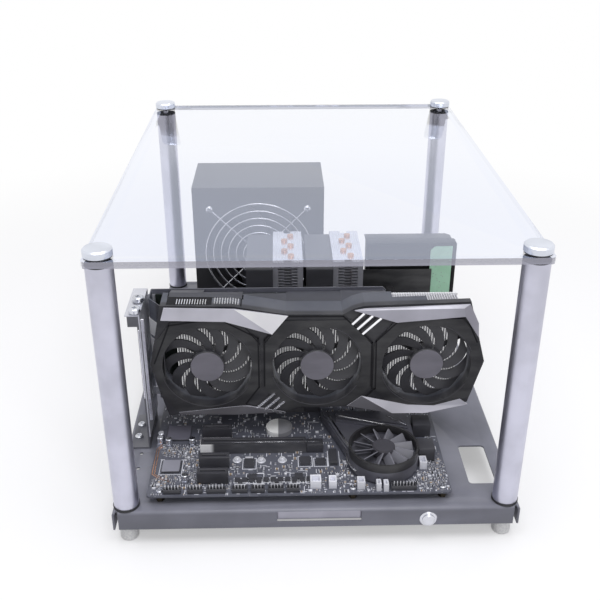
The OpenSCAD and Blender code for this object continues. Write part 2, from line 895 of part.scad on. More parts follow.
module chipset_heat_sink() {
    r = chip_fan_d/2;
    rib_h = 1.8;
    rib_w = r*0.09;
    color("#4b4c56") translate([chip_fan_x, chip_fan_y, chip_sink_z]) {
        difference() {
            union() {
                linear_extrude(chip_sink_t) chipset_plate_outline();
                cylinder(r = r, h = chip_sink_t + chip_fan_h);
                for (i = [0:2]) translate([0, 0, chip_sink_t - cut])
                    linear_extrude(rib_h + cut)
                        polygon([[-1.25*r, (2.02 - 0.16*i)*r],
                            [-1.25*r, (2.02 - 0.16*i)*r - rib_w],
                            [0.86*r, (1.40 - 0.16*i)*r - rib_w],
                            [0.86*r, (1.40 - 0.16*i)*r]]);
                translate([0, 0, chip_sink_t - cut]) linear_extrude(rib_h + cut)
                    polygon([[-1.66*r, 2.10*r], [-1.56*r, 2.10*r],
                        [-0.88*r, 0.18*r], [-0.98*r, 0.18*r]]);
                translate([-r/2, -r/4, -chip_sink_lift])
                    cube([r, r, chip_sink_lift + cut/2]);
            }
            translate([0, 0, chip_sink_t + chip_floor_t])
                cylinder(r = r - chip_wall_t, h = chip_fan_h + cut);
        }
        translate([0, 0, chip_sink_t - cut])
            cylinder(d = chip_pin_d, h = chip_fan_h*chip_pin_share + cut);
    }
}

module chipset_rotor() {
    tip_r = chip_fan_d/2 - chip_wall_t - chip_tip_gap;
    floor_z = chip_fan_z + chip_floor_t + chip_rotor_gap;
    hub_h = chip_fan_h - chip_hub_drop;
    blade_h = hub_h*0.72;
    color("#5a5b65") translate([chip_fan_x, chip_fan_y, floor_z]) difference() {
        union() {
            rotate_extrude() polygon([[0, 0], [chip_hub_r, 0],
                [chip_hub_r, hub_h - chip_hub_edge], [chip_hub_r - chip_hub_edge, hub_h],
                [0, hub_h]]);
            for (i = [0:chip_blades - 1]) rotate([0, 0, i*360/chip_blades])
                intersection() {
                    translate([0, 0, hub_h/2]) rotate([chip_blade_tilt, 0, 0])
                        translate([chip_hub_r*0.8, -chip_blade_t/2, -tip_r/2])
                            cube([tip_r, chip_blade_t, tip_r]);
                    translate([0, 0, (hub_h - blade_h)/2])
                        cylinder(r = tip_r, h = blade_h);
                }
        }
        translate([0, 0, -cut]) cylinder(d = chip_pin_d + 2*run_gap,
            h = chip_fan_h*chip_pin_share + cut);
    }
}

// Curved fan blade ring. Each blade is the moon between two circles that pass
// through the hub's axis, tilted about its own middle and trimmed to the duct.
module fan_blades(tip_r, hub_r, blades, h, tilt, fill) {
    bow_r = tip_r*0.56;
    width_deg = 360/blades*fill;
    mid_deg = acos(tip_r*0.68/(2*bow_r)) - width_deg/2;
    blade_t = h*0.13;
    for (i = [0:blades - 1]) rotate([0, 0, i*360/blades]) intersection() {
        rotate([-tilt, 0, 0]) translate([0, 0, -blade_t/2])
            linear_extrude(blade_t) mirror([0, 1]) rotate(-mid_deg) difference() {
                translate([bow_r, 0]) circle(bow_r);
                rotate(-width_deg) translate([bow_r, 0]) circle(bow_r);
            }
        translate([0, 0, -h/2]) difference() {
            cylinder(r = tip_r, h = h);
            translate([0, 0, -cut]) cylinder(r = hub_r - blade_root, h = h + 2*cut);
        }
    }
}

// Fan wheel with its front face at z = 0 and a blind bore from behind
module fan_rotor(tip_r, hub_r, hub_h, blades, tilt, fill, pin_d, cap_t) {
    edge = hub_h*0.1;
    difference() {
        union() {
            translate([0, 0, -hub_h]) rotate_extrude() polygon([[0, 0], [hub_r, 0],
                [hub_r, hub_h - edge], [hub_r - edge, hub_h], [0, hub_h]]);
            translate([0, 0, -hub_h*0.52])
                fan_blades(tip_r, hub_r, blades, hub_h*0.86, tilt, fill);
        }
        translate([0, 0, -hub_h - cut])
            cylinder(d = pin_d + 2*run_gap, h = hub_h - cap_t + cut);
    }
}

// Local +Z points forward, local Y up
module at_card_fan(i) {
    translate([card_fan_x[i], card_front_y, card_fan_z]) rotate([90, 0, 0]) children();
}

module card_rotor(i) {
    color("#45464c") at_card_fan(i) translate([0, 0, -rotor_in])
        fan_rotor(card_rotor_r, card_hub_r, card_hub_h, card_blades, card_blade_tilt,
            card_fill_share, card_pin_d, card_pin_wall);
}

module card_fan_mounts() {
    hub_back = shroud_t + duct_l + mount_t - rotor_in - card_hub_h;
    color("#3a3b40") for (i = [0:2]) at_card_fan(i)
        translate([0, 0, -shroud_t - duct_l - mount_t]) {
            linear_extrude(mount_t) {
                difference() {
                    circle(duct_r + duct_wall);
                    circle(duct_r);
                }
                circle(d = motor_plate_d);
                for (turn = [30, 150, 270]) rotate(turn)
                    translate([motor_plate_d/4, -mount_arm_w/2])
                        square([duct_r + duct_wall/2 - motor_plate_d/4, mount_arm_w]);
            }
            translate([0, 0, mount_t/2]) {
                cylinder(d = motor_d, h = hub_back - rotor_back_gap - mount_t/2);
                cylinder(d = card_pin_d, h = hub_back + card_pin_l - mount_t/2);
            }
        }
}

// Outline of the shroud seen from the front, as shares of half its length and height
shroud_share = [[-0.918, 0.985], [-0.502, 0.965], [-0.189, 0.815], [0.142, 0.805],
    [0.204, 0.900], [0.266, 0.950], [0.888, 1.000], [1.000, -0.052],
    [0.921, -0.807], [0.450, -1.000], [0.175, -0.870], [-0.100, -0.870],
    [-0.218, -0.970], [-0.478, -0.833], [-0.910, -1.000], [-0.970, -0.416],
    [-1.000, -0.046]];

function shroud_points(inset) = [for (p = shroud_share)
    [p.x*(shroud_l/2 - inset), p.y*(shroud_h/2 - inset)]];

// Local +Z points forward, local Y up, at the middle of the shroud's front face
module at_shroud() {
    translate([card_x, card_front_y, card_mid_z]) rotate([90, 0, 0]) children();
}

// Eight-sided frame round a fan, by its reach from the fan's axis
module fan_frame_outline(reach_x, reach_y) {
    polygon([[-reach_x, -reach_y*0.48], [-reach_x*0.62, -reach_y],
        [reach_x*0.62, -reach_y], [reach_x, -reach_y*0.48],
        [reach_x, reach_y*0.48], [reach_x*0.62, reach_y],
        [-reach_x*0.62, reach_y], [-reach_x, reach_y*0.48]]);
}

module card_shroud() {
    frame_lift = 1.4;
    frame_gap = 1.4;
    frame_margin = 6;
    frame_x = card_fan_pitch/2 - frame_gap;
    frame_y = duct_r + frame_margin;
    groove = 2.2;
    color("#47484d") at_shroud() difference() {
        union() {
            translate([0, 0, -shroud_t]) linear_extrude(shroud_t - frame_lift)
                polygon(shroud_points(0));
            translate([0, 0, -shroud_t]) linear_extrude(shroud_t) trim_outlines();
            translate([0, 0, -shroud_t]) linear_extrude(shroud_t) slash_outlines();
            intersection() {
                translate([0, 0, -shroud_t]) linear_extrude(shroud_t)
                    polygon(shroud_points(groove));
                for (x = card_fan_x) translate([x - card_x, card_fan_z - card_mid_z,
                    -shroud_t]) linear_extrude(shroud_t)
                    fan_frame_outline(frame_x, frame_y);
            }
            difference() {
                translate([0, 0, -shroud_d]) linear_extrude(shroud_d - shroud_t + cut/2)
                    polygon(shroud_points(0));
                translate([0, 0, -shroud_d - cut]) linear_extrude(shroud_d - shroud_t + cut)
                    polygon(shroud_points(shroud_wall));
            }
            for (x = card_fan_x) translate([x - card_x, card_fan_z - card_mid_z,
                -shroud_t - duct_l])
                cylinder(r = duct_r + duct_wall, h = duct_l + shroud_t/2);
        }
        for (x = card_fan_x) translate([x - card_x, card_fan_z - card_mid_z,
            -shroud_t - duct_l - cut])
            cylinder(r = duct_r, h = duct_l + shroud_t + 2*cut);
        shroud_vents();
    }
}

// Openings in the shroud's walls. Top: start, length and depth as shares, over the
// raised fins and, in two steps, over the right block. Below: two long mouths.
top_gap_share = [[-0.443, 0.223, 0.35], [0.220, 0.300, 0.40], [0.320, 0.200, 0.70]];

module shroud_vents() {
    back = -shroud_d - cut;
    for (gap = top_gap_share) translate([shroud_l*gap[0], shroud_h*0.36, back])
        cube([shroud_l*gap[1], shroud_h*0.2, cut + shroud_d*gap[2]]);
    for (sx = [-1, 1])
        translate([sx*shroud_l*0.26 - shroud_l*0.17, -shroud_h*0.56, back])
            cube([shroud_l*0.34, shroud_h*0.26, shroud_d*0.42]);
}

// Light trim pieces on the shroud's corners, as shares of its half sizes
trim_share = [
    [[-0.907, 0.985], [-0.502, 0.962], [-0.189, 0.815], [-0.281, 0.535],
        [-0.559, 0.750], [-0.928, 0.770]],
    [[0.204, 0.900], [0.266, 0.948], [0.886, 0.998], [0.960, 0.330],
        [0.861, 0.782], [0.458, 0.690]],
    [[0.175, -0.865], [0.269, -0.680], [0.556, -0.865], [0.876, -0.770],
        [0.921, -0.805], [0.450, -0.998]]];
trim_t = 1.2;
trim_lap = 1.6;

// Slanting accent bars in two rows: the ends that lie in line, as shares of the
// shroud's half sizes, and the way that the bars run from there
slash_end_share = [[-0.262, -0.581], [0.196, 0.637]];
slash_way = [-1, 1];
slash_long = 20.5;
slash_step = 5.8;
slash_shrink = 3;
slash_w = 1.8;
slash_t = 0.6;

module trim_outlines() {
    for (corner = trim_share) polygon([for (p = corner)
        [p.x*(shroud_l/2 - trim_lap), p.y*(shroud_h/2 - trim_lap)]]);
}

module slash_outlines() {
    for (row = [0, 1], i = [0:2]) {
        length = slash_long - slash_shrink*(row == 0 ? i : 2 - i);
        translate([slash_end_share[row].x*shroud_l/2, slash_end_share[row].y*shroud_h/2])
            rotate(45) translate([slash_way[row] < 0 ? -length : 0, -i*slash_step])
                square([length, slash_w]);
    }
}

module card_trim() {
    color("#b3b3bd") at_shroud() {
        linear_extrude(trim_t) trim_outlines();
        linear_extrude(slash_t) slash_outlines();
    }
}

module card_board() {
    tab_l = long_slot_l - 2*slot_wall - 2*seat_gap;
    tab_low = board_top_z + slot_h - slot_groove_h + seat_gap;
    color("#2f3a33") {
        translate([card_board_x, card_slot_y - card_board_t/2, card_board_z])
            cube([card_board_l, card_board_t, card_board_h]);
        translate([slot_x + slot_wall + seat_gap, card_slot_y - card_board_t/2, tab_low])
            cube([tab_l, card_board_t, card_board_z - tab_low + cut]);
    }
}

module card_backplate() {
    corner = 6;
    top = card_board_h + backplate_over;
    color("#5c5d64") {
        difference() {
            translate([card_board_x, backplate_y + backplate_t, card_board_z])
                rotate([90, 0, 0]) linear_extrude(backplate_t)
                    polygon([[-backplate_left, 0], [card_board_l, 0],
                        [card_board_l, top - corner/2], [card_board_l - corner/2, top],
                        [-backplate_left, top]]);
            for (i = [0:5])
                translate([card_board_x + card_board_l*(0.62 + 0.05*i),
                    backplate_y - cut, card_board_z + card_board_h*0.25])
                    cube([card_board_l*0.022, backplate_t + 2*cut, card_board_h*0.5]);
        }
        for (sx = [0.06, 0.55, 0.94], sz = [0.1, 0.9])
            translate([card_board_x + card_board_l*sx,
                backplate_y, card_board_z + card_board_h*sz]) rotate([90, 0, 0])
                cylinder(d = corner, h = backplate_gap);
    }
}

// Comb of upright fins on a base sheet, seen from above and raised along Z
module fin_comb(length, base_y, tip_y, gap, thick) {
    count = floor((length - thick)/gap);
    polygon(concat([[0, base_y]],
        [for (i = [0:count]) each [[i*gap, tip_y], [i*gap + thick, tip_y],
            [i*gap + thick, base_y - fin_base_t], [(i + 1)*gap, base_y - fin_base_t]]],
        [[(count + 1)*gap, base_y]]));
}

module card_fin_pack() {
    left_x_in = 18;
    gap_x = 6;
    board_clear = 2;
    fin_low = card_mid_z - shroud_h*0.40;
    fin_h = shroud_h*0.77;
    left_l = card_board_l - left_x_in - gap_x;
    // Fins that rise into the gap in the shroud's top wall, and the higher right block
    high_l = left_l*0.31;
    high_rise = 7;
    right_rise = 3;
    right_x0 = card_board_x + card_board_l + board_clear;
    right_l = card_x + shroud_l/2*0.86 - right_x0;
    color("#c3c4cb") {
        translate([card_board_x + left_x_in, 0, fin_low])
            linear_extrude(fin_h)
                fin_comb(left_l, fin_back_y, fin_front_y, card_fin_pitch, fin_t);
        translate([card_board_x + left_x_in, 0, fin_low + fin_h - cut])
            linear_extrude(high_rise + cut)
                fin_comb(high_l, fin_back_y, fin_front_y, card_fin_pitch, fin_t);
        translate([right_x0, 0, fin_low])
            linear_extrude(fin_h + right_rise)
                fin_comb(right_l, backplate_y + backplate_t, fin_front_y,
                    card_fin_pitch, fin_t);
    }
}

module card_bracket() {
    low_z = board_top_z + card_bracket_up;
    y0 = stand_y;
    port_w = 6;
    port_h = 16;
    port_step = 24;
    port_up = 22;
    vent_in = 5;
    vent_w = 12;
    vent_h = 7;
    vent_step = 14;
    top_z = stand_top_z + bracket_t;
    color("#c9cbd2") difference() {
        union() {
            translate([card_bracket_x - card_bracket_t, y0, low_z])
                cube([card_bracket_t, card_bracket_w, top_z - low_z]);
            translate([card_bracket_x - card_bracket_flange, y0, top_z])
                cube([card_bracket_flange, card_bracket_w, card_bracket_t]);
            for (sz = [0.05, 0.92])
                translate([card_bracket_x - card_bracket_t,
                    card_slot_y + card_board_t/2,
                    card_board_z + card_board_h*sz])
                    cube([card_board_x - card_bracket_x + card_bracket_t + card_tab,
                        card_bracket_t, card_tab]);
        }
        for (i = [0, 1]) translate([thumb_x, thumb_y + i*thumb_pitch, top_z - cut])
            cylinder(d = panel_tap_d + card_hole_slack, h = card_bracket_t + 2*cut);
        for (i = [0:2]) translate([card_bracket_x - card_bracket_t - cut,
            y0 + card_bracket_w*0.55, low_z + port_up + i*port_step])
            cube([card_bracket_t + 2*cut, port_w, port_h]);
        for (i = [0:6]) translate([card_bracket_x - card_bracket_t - cut,
            y0 + vent_in, low_z + (i + 1)*vent_step])
            cube([card_bracket_t + 2*cut, vent_w, vent_h]);
    }
}

module card_stand() {
    top_l = stand_x + bracket_t - thumb_x + stand_lip;
    color("#55565e") difference() {
        union() {
            translate([stand_x + bracket_t - stand_foot_l, stand_y, deck_z])
                cube([stand_foot_l, stand_w, bracket_t]);
            translate([stand_x, stand_y, deck_z])
                cube([bracket_t, stand_w, stand_top_z + bracket_t - deck_z]);
            translate([stand_x + bracket_t - top_l, stand_y, stand_top_z])
                cube([top_l, stand_w, bracket_t]);
            translate([stand_x + bracket_t - top_l, stand_y, stand_top_z - stand_fold])
                cube([top_l, bracket_t, stand_fold + bracket_t]);
        }
        for (p = stand_spots()) translate([p.x, p.y, deck_z - cut])
            cylinder(d = panel_tap_d, h = bracket_t + 2*cut);
        for (i = [0, 1]) translate([thumb_x, thumb_y + i*thumb_pitch, stand_top_z - cut])
            cylinder(d = panel_tap_d, h = bracket_t + 2*cut);
        for (i = [0:3]) translate([stand_x - cut, stand_y + stand_w/2,
            deck_z + stand_hole_up + i*stand_hole_step]) rotate([0, 90, 0])
            cylinder(d = stand_hole_d, h = bracket_t + 2*cut);
    }
}

module thumb_screws() {
    slot_d = 1.2;
    color("#d2d4da") for (i = [0, 1])
        translate([thumb_x, thumb_y + i*thumb_pitch,
            stand_top_z + bracket_t + card_bracket_t]) difference() {
            union() {
                rotate_extrude() polygon([[0, 0], [thumb_head_d*0.3, 0],
                    [thumb_head_d*0.3, thumb_head_h*0.2],
                    [thumb_head_d/2, thumb_head_h*0.2],
                    [thumb_head_d/2, thumb_head_h*0.85],
                    [thumb_head_d*0.42, thumb_head_h], [0, thumb_head_h]]);
                translate([0, 0, -panel_screw_l])
                    cylinder(d = panel_screw_d, h = panel_screw_l + cut);
            }
            for (turn = [0, 90]) rotate([0, 0, turn])
                translate([-thumb_head_d*0.2, -slot_d/2, thumb_head_h*0.7])
                    cube([thumb_head_d*0.4, slot_d, thumb_head_h]);
        }
}

module panel_screw() {
    pan_screw(panel_head_d, panel_head_h, panel_screw_d, panel_screw_l);
}

module panel_screws() {
    color("#b9bac1") {
        for (p = stand_spots()) translate([p.x, p.y, deck_z + bracket_t]) panel_screw();
        for (p = drive_foot_spots()) translate([p.x, p.y, deck_z + bracket_t])
            panel_screw();
        for (sx = [-1, 1], sz = [-1, 1])
            translate([supply_fan_mid_x + sx*screw_spread,
                supply_y - guard_gap - guard_wire_d,
                supply_fan_mid_z + sz*screw_spread]) rotate([90, 0, 0]) panel_screw();
    }
}

module supply_case() {
    hole_d = 7;
    hole_step = 9;
    color("#2c2d31") difference() {
        translate([supply_x, supply_y, deck_z]) cube([supply_w, supply_d, supply_h]);
        translate([supply_x + supply_wall, supply_y + supply_wall, deck_z + supply_wall])
            cube([supply_w - 2*supply_wall, supply_d - 2*supply_wall,
                supply_h - 2*supply_wall]);
        translate([supply_fan_mid_x, supply_y + supply_wall + cut, supply_fan_mid_z])
            rotate([90, 0, 0]) cylinder(r = supply_opening_r, h = supply_wall + 2*cut);
        for (sx = [-1, 1], sz = [-1, 1])
            translate([supply_fan_mid_x + sx*screw_spread, supply_y + supply_wall + cut,
                supply_fan_mid_z + sz*screw_spread]) rotate([90, 0, 0])
                cylinder(d = panel_tap_d, h = supply_wall + 2*cut);
        for (iy = [0:6], iz = [0:8])
            translate([supply_x - cut, supply_y + supply_d*0.5 + (iy - 3)*hole_step,
                deck_z + supply_h*0.36 + (iz + (iy % 2)/2)*hole_step]) rotate([0, 90, 0])
                cylinder(d = hole_d, h = supply_wall + 2*cut, $fn = 6);
        translate([supply_x - cut, inlet_y - inlet_h/2, inlet_z - inlet_w/2])
            cube([supply_wall + 2*cut, inlet_h, inlet_w]);
        translate([supply_x - cut, rocker_y - rocker_w/2 - rocker_wall - 2*seat_gap,
            inlet_z - rocker_r - rocker_wall - 3*seat_gap])
            cube([supply_wall + 2*cut, rocker_w + 2*rocker_wall + 4*seat_gap,
                2*rocker_r + 2*rocker_wall + 6*seat_gap]);
        for (i = [0:3]) translate([supply_x + supply_w - supply_wall - cut,
            supply_y + supply_d*0.3, deck_z + supply_h*(0.16 + 0.19*i)])
            cube([supply_wall + 2*cut, supply_d*0.42, supply_h*0.11]);
    }
}

inlet_z = deck_z + supply_h*0.17;
inlet_y = supply_y + supply_d*0.54;
rocker_y = supply_y + supply_d*0.82;
rocker_wall = 1.2;
rocker_in = 4;
rocker_r = rocker_l*0.42;
rocker_pin_d = 2;
rocker_pin_l = 1.5;
inlet_depth = 18;

// Square fan frame with its front face at z = 0: duct, motor plate, arms and pin
module fan_frame(size, depth, duct_radius, spread, motor_r, motor_h, pin_d, pin_l) {
    arm_w = size*0.05;
    arm_t = depth*0.12;
    difference() {
        translate([0, 0, -depth]) linear_extrude(depth)
            rounded_outline(size, size, size*0.06);
        translate([0, 0, -depth - cut]) cylinder(r = duct_radius, h = depth + 2*cut);
        for (sx = [-1, 1], sy = [-1, 1])
            translate([sx*spread, sy*spread, -depth - cut])
                cylinder(d = panel_tap_d, h = depth + 2*cut);
    }
    for (i = [0:3]) rotate([0, 0, 45 + 90*i])
        translate([motor_r*0.6, -arm_w/2, -depth])
            cube([duct_radius - motor_r*0.6 + cut, arm_w, arm_t]);
    translate([0, 0, -depth]) cylinder(r = motor_r, h = motor_h);
    translate([0, 0, -depth]) cylinder(d = pin_d, h = motor_h + pin_l);
}

module at_supply_fan() {
    translate([supply_fan_mid_x, supply_y + supply_wall, supply_fan_mid_z])
        rotate([90, 0, 0]) children();
}

supply_hub_h = 17;
supply_pin_d = 4;

module supply_fan_frame() {
    motor_h = supply_fan_t - rotor_in - supply_hub_h - rotor_back_gap;
    color("#2f3034") at_supply_fan()
        fan_frame(supply_fan_size, supply_fan_t, supply_fan_r, screw_spread,
            supply_hub_r, motor_h, supply_pin_d, supply_hub_h*0.8);
}

module supply_rotor() {
    color("#33343a") at_supply_fan() translate([0, 0, -rotor_in])
        fan_rotor(supply_fan_r - tip_gap, supply_hub_r, supply_hub_h, supply_blades,
            supply_blade_tilt, supply_fill_share, supply_pin_d, hub_cap_t);
}

module supply_guard() {
    arm_in = guard_ring_r[0] - guard_wire_d/2;
    eye_r = panel_tap_d/2 + guard_wire_d/2 + run_gap;
    arm_l = screw_spread*sqrt(2) - eye_r - arm_in;
    color("#cfd0d6") translate([supply_fan_mid_x,
        supply_y - guard_gap/2 - guard_wire_d/2, supply_fan_mid_z])
        rotate([90, 0, 0]) {
            for (r = guard_ring_r) rotate_extrude() translate([r, 0])
                circle(d = guard_wire_d);
            for (i = [0:3]) rotate([0, 0, 45 + 90*i]) {
                translate([arm_in, 0, -guard_wire_d*0.12]) rotate([0, 90, 0])
                    cylinder(d = guard_wire_d*0.9, h = arm_l);
                translate([screw_spread*sqrt(2), 0, 0]) rotate_extrude()
                    translate([eye_r, 0]) circle(d = guard_wire_d);
            }
        }
}

module supply_inlet() {
    color("#232327") {
        translate([supply_x, inlet_y, inlet_z]) rotate([0, -90, 0]) difference() {
            union() {
                linear_extrude(inlet_lip)
                    rounded_outline(inlet_w + 2*inlet_lip, inlet_h + 2*inlet_lip, inlet_lip);
                translate([0, 0, -inlet_depth]) linear_extrude(inlet_depth + cut)
                    square([inlet_w - 2*inlet_gap, inlet_h - 2*inlet_gap], center = true);
            }
            translate([0, 0, inlet_floor - inlet_depth])
                linear_extrude(inlet_depth + inlet_lip)
                    square([inlet_w - 2*inlet_gap - 2*inlet_wall,
                        inlet_h - 2*inlet_gap - 2*inlet_wall], center = true);
        }
        for (p = [[-1, -1], [0, 1], [1, -1]])
            translate([supply_x + inlet_depth - inlet_floor - seat_gap,
                inlet_y + p[1]*inlet_h/8, inlet_z + p[0]*inlet_w/4])
                rotate([0, -90, 0])
                    linear_extrude(inlet_depth - inlet_floor - seat_gap - inlet_pin_in)
                        square([inlet_pin_w, 2*inlet_pin_w], center = true);
        rocker_housing();
    }
}

// Snap-in housing of the rocker, with a pin on each side wall
module rocker_housing() {
    room_w = rocker_w + 2*seat_gap;
    room_l = 2*rocker_r + 4*seat_gap;
    depth = rocker_in + rocker_r + 2*seat_gap + rocker_wall;
    difference() {
        union() {
            translate([supply_x - rocker_wall, rocker_y - room_w/2 - 2*rocker_wall,
                inlet_z - room_l/2 - 2*rocker_wall])
                cube([rocker_wall, room_w + 4*rocker_wall, room_l + 4*rocker_wall]);
            translate([supply_x - rocker_wall/2, rocker_y - room_w/2 - rocker_wall,
                inlet_z - room_l/2 - rocker_wall])
                cube([depth + rocker_wall/2, room_w + 2*rocker_wall,
                    room_l + 2*rocker_wall]);
        }
        translate([supply_x - rocker_wall - cut, rocker_y - room_w/2,
            inlet_z - room_l/2])
            cube([depth + cut, room_w, room_l]);
    }
    for (sy = [-1, 1])
        translate([supply_x + rocker_in, rocker_y + sy*(room_w/2 + rocker_wall/2), inlet_z])
            rotate([sy*90, 0, 0])
                cylinder(d = rocker_pin_d, h = rocker_pin_l + rocker_wall/2 + seat_gap);
}

// The rocker rests tipped to one side of its pins, which lie along Y
module supply_rocker() {
    face_r = rocker_l*0.62;
    face_in = rocker_r*0.8;
    color("#1d1d20") translate([supply_x + rocker_in, rocker_y, inlet_z])
        rotate([0, rocker_deg, 0]) rotate([90, 0, 0]) difference() {
            translate([0, 0, -rocker_w/2]) cylinder(r = rocker_r, h = rocker_w);
            translate([-face_r - face_in, 0, -rocker_w]) cylinder(r = face_r, h = 2*rocker_w);
            translate([rocker_r*0.45, -rocker_l, -rocker_w]) cube(2*rocker_l);
            for (sz = [-1, 1]) translate([0, 0, sz*(rocker_w/2 - rocker_pin_l/2)])
                cylinder(d = rocker_pin_d + 2*run_gap, h = rocker_pin_l + 2*seat_gap,
                    center = true);
        }
}

// Centre line stations of the heat pipes, staggered left and right
function pipe_y(i) = cooler_y + (i - (pipe_count - 1)/2)*pipe_pitch;
function pipe_shift(i) = (i % 2 == 0 ? 1 : -1)*pipe_zigzag;

module heat_pipe(i) {
    low_z = pipe_low_z;
    left = cooler_x - tower_pitch/2 + pipe_shift(i);
    right = cooler_x + tower_pitch/2 + pipe_shift(i);
    top_z = tower_top_z + tower_plate_t + pipe_over;
    translate([0, pipe_y(i), 0]) {
        for (x = [left, right]) translate([x, 0, low_z + pipe_bend_r])
            cylinder(d = pipe_d, h = top_z - low_z - pipe_bend_r);
        translate([left + pipe_bend_r, 0, low_z]) rotate([0, 90, 0])
            cylinder(d = pipe_d, h = right - left - 2*pipe_bend_r);
        translate([left + pipe_bend_r, 0, low_z + pipe_bend_r]) rotate([90, 0, 0])
            rotate([0, 0, 180]) rotate_extrude(angle = 90) translate([pipe_bend_r, 0])
                circle(d = pipe_d);
        translate([right - pipe_bend_r, 0, low_z + pipe_bend_r]) rotate([90, 0, 0])
            rotate([0, 0, 270]) rotate_extrude(angle = 90) translate([pipe_bend_r, 0])
                circle(d = pipe_d);
    }
}

module heat_pipes() {
    color("#b8764c") for (i = [0:pipe_count - 1]) heat_pipe(i);
}

module cooler_base() {
    color("#a7a9b2") difference() {
        translate([cooler_x - cooler_base_w/2, cooler_y - cooler_base_d/2, cooler_base_z])
            cube([cooler_base_w, cooler_base_d, cooler_base_h]);
        for (i = [0:pipe_count - 1])
            translate([cooler_x - cooler_base_w/2 - cut, pipe_y(i), pipe_low_z])
                rotate([0, 90, 0])
                    cylinder(d = pipe_d + 2*run_gap, h = cooler_base_w + 2*cut);
    }
}

// Outline of one fin, with a notch in each narrow end
module fin_outline() {
    difference() {
        square([tower_w, tower_d], center = true);
        for (sy = [-1, 1]) translate([0, sy*tower_d/2])
            square([tower_notch_w, 2*tower_notch_d], center = true);
    }
}

module pipe_holes(z, h) {
    for (i = [0:pipe_count - 1])
        translate([pipe_shift(i), pipe_y(i) - cooler_y, z])
            cylinder(d = pipe_d + 2*run_gap, h = h);
}

module cooler_fins() {
    count = floor((tower_h - tower_fin_t)/tower_fin_pitch);
    color("#8b8c94") for (side = [-1, 1])
        translate([cooler_x + side*tower_pitch/2, cooler_y, tower_z]) difference() {
            union() {
                for (i = [0:count]) translate([0, 0, i*tower_fin_pitch])
                    linear_extrude(tower_fin_t) fin_outline();
                for (sx = [-1, 1], sy = [-1, 1])
                    translate([sx*(tower_w/2 - tab_w/2) - tab_w/2,
                        sy*(tower_d/2 - tab_t/2) - tab_t/2, 0])
                        cube([tab_w, tab_t, tower_h]);
            }
            pipe_holes(-cut, tower_h + 2*cut);
        }
}

module cooler_top_plates() {
    color("#dfe2ec") for (side = [-1, 1])
        translate([cooler_x + side*tower_pitch/2, cooler_y, tower_top_z]) difference() {
            linear_extrude(tower_plate_t) fin_outline();
            pipe_holes(-cut, tower_plate_t + 2*cut);
        }
}

tower_fan_mid_z = tower_top_z - tower_fan_drop - tower_fan_size/2;
tower_fan_r = tower_fan_size/2 - tower_fan_edge;
tower_hub_h = 17;
tower_pin_d = 3;

// Cooler fans blow to the right, with their front faces to the left
module at_tower_fan(side) {
    translate([cooler_x + side*tower_pitch/2 - tower_w/2 - tower_fan_t, cooler_y,
        tower_fan_mid_z]) rotate([90, 0, -90]) children();
}

module cooler_fan_frames() {
    motor_h = tower_fan_t - rotor_in - tower_hub_h - rotor_back_gap;
    color("#2b2c31") for (side = [-1, 1]) at_tower_fan(side)
        fan_frame(tower_fan_size, tower_fan_t, tower_fan_r,
            tower_fan_size*tower_spread_share, tower_hub_r, motor_h, tower_pin_d,
            tower_hub_h*0.8);
}

module cooler_rotor(side) {
    color("#3b3c42") at_tower_fan(side) translate([0, 0, -rotor_in])
        fan_rotor(tower_fan_r - tip_gap, tower_hub_r, tower_hub_h, tower_blades,
            tower_blade_tilt, tower_fill_share, tower_pin_d, hub_cap_t);
}

module drive_case() {
    edge = 2.5;
    color("#3a3b42") difference() {
        translate([drive_x + drive_l/2, drive_back_y, drive_z + drive_h/2])
            rotate([90, 0, 0]) linear_extrude(drive_t)
                rounded_outline(drive_l, drive_h, edge);
        translate([drive_x + drive_rim, drive_y - cut, drive_z + drive_rim])
            cube([drive_l - 2*drive_rim, cut + drive_recess, drive_h - 2*drive_rim]);
    }
}

drive_recess = 2;
drive_rim = 4;
// Left edge of the drive's circuit board, as a share of the drive's length
drive_board_share = 0.715;

module drive_board() {
    corner = 5;
    edge = drive_rim + seat_gap;
    w = drive_l*(1 - drive_board_share) - edge;
    h = drive_h - 2*edge;
    color("#8fc7a0")
        translate([drive_x + drive_board_share*drive_l, drive_y + drive_recess,
            drive_z + edge]) rotate([90, 0, 0])
            linear_extrude(drive_recess*0.8)
                polygon([[0, 0], [w, 0], [w, h], [corner, h], [0, h - corner]]);
}

module drive_bracket() {
    lip_y = drive_y - bracket_t - seat_gap;
    lip_x = drive_x - lip_out;
    back_l = drive_l - drive_back_short;
    color("#3f4047") difference() {
        union() {
            translate([drive_x, drive_back_y, deck_z])
                cube([back_l, bracket_t, drive_z + drive_h - deck_z]);
            translate([drive_x, drive_back_y, deck_z])
                cube([back_l, drive_flange, bracket_t]);
            translate([drive_x, drive_back_y, drive_z + drive_h - bracket_t])
                linear_extrude(bracket_t) polygon([[0, 0], [back_l, 0],
                    [back_l, drive_flange - drive_flange_bevel],
                    [back_l - drive_flange_bevel, drive_flange],
                    [0, drive_flange]]);
            translate([lip_x, lip_y, deck_z])
                cube([lip_l, bracket_t, lip_h]);
            translate([lip_x, lip_y, deck_z])
                cube([lip_l, drive_back_y - lip_y + cut, bracket_t]);
        }
        for (p = drive_foot_spots()) translate([p.x, p.y, deck_z - cut])
            cylinder(d = panel_tap_d, h = bracket_t + 2*cut);
    }
}

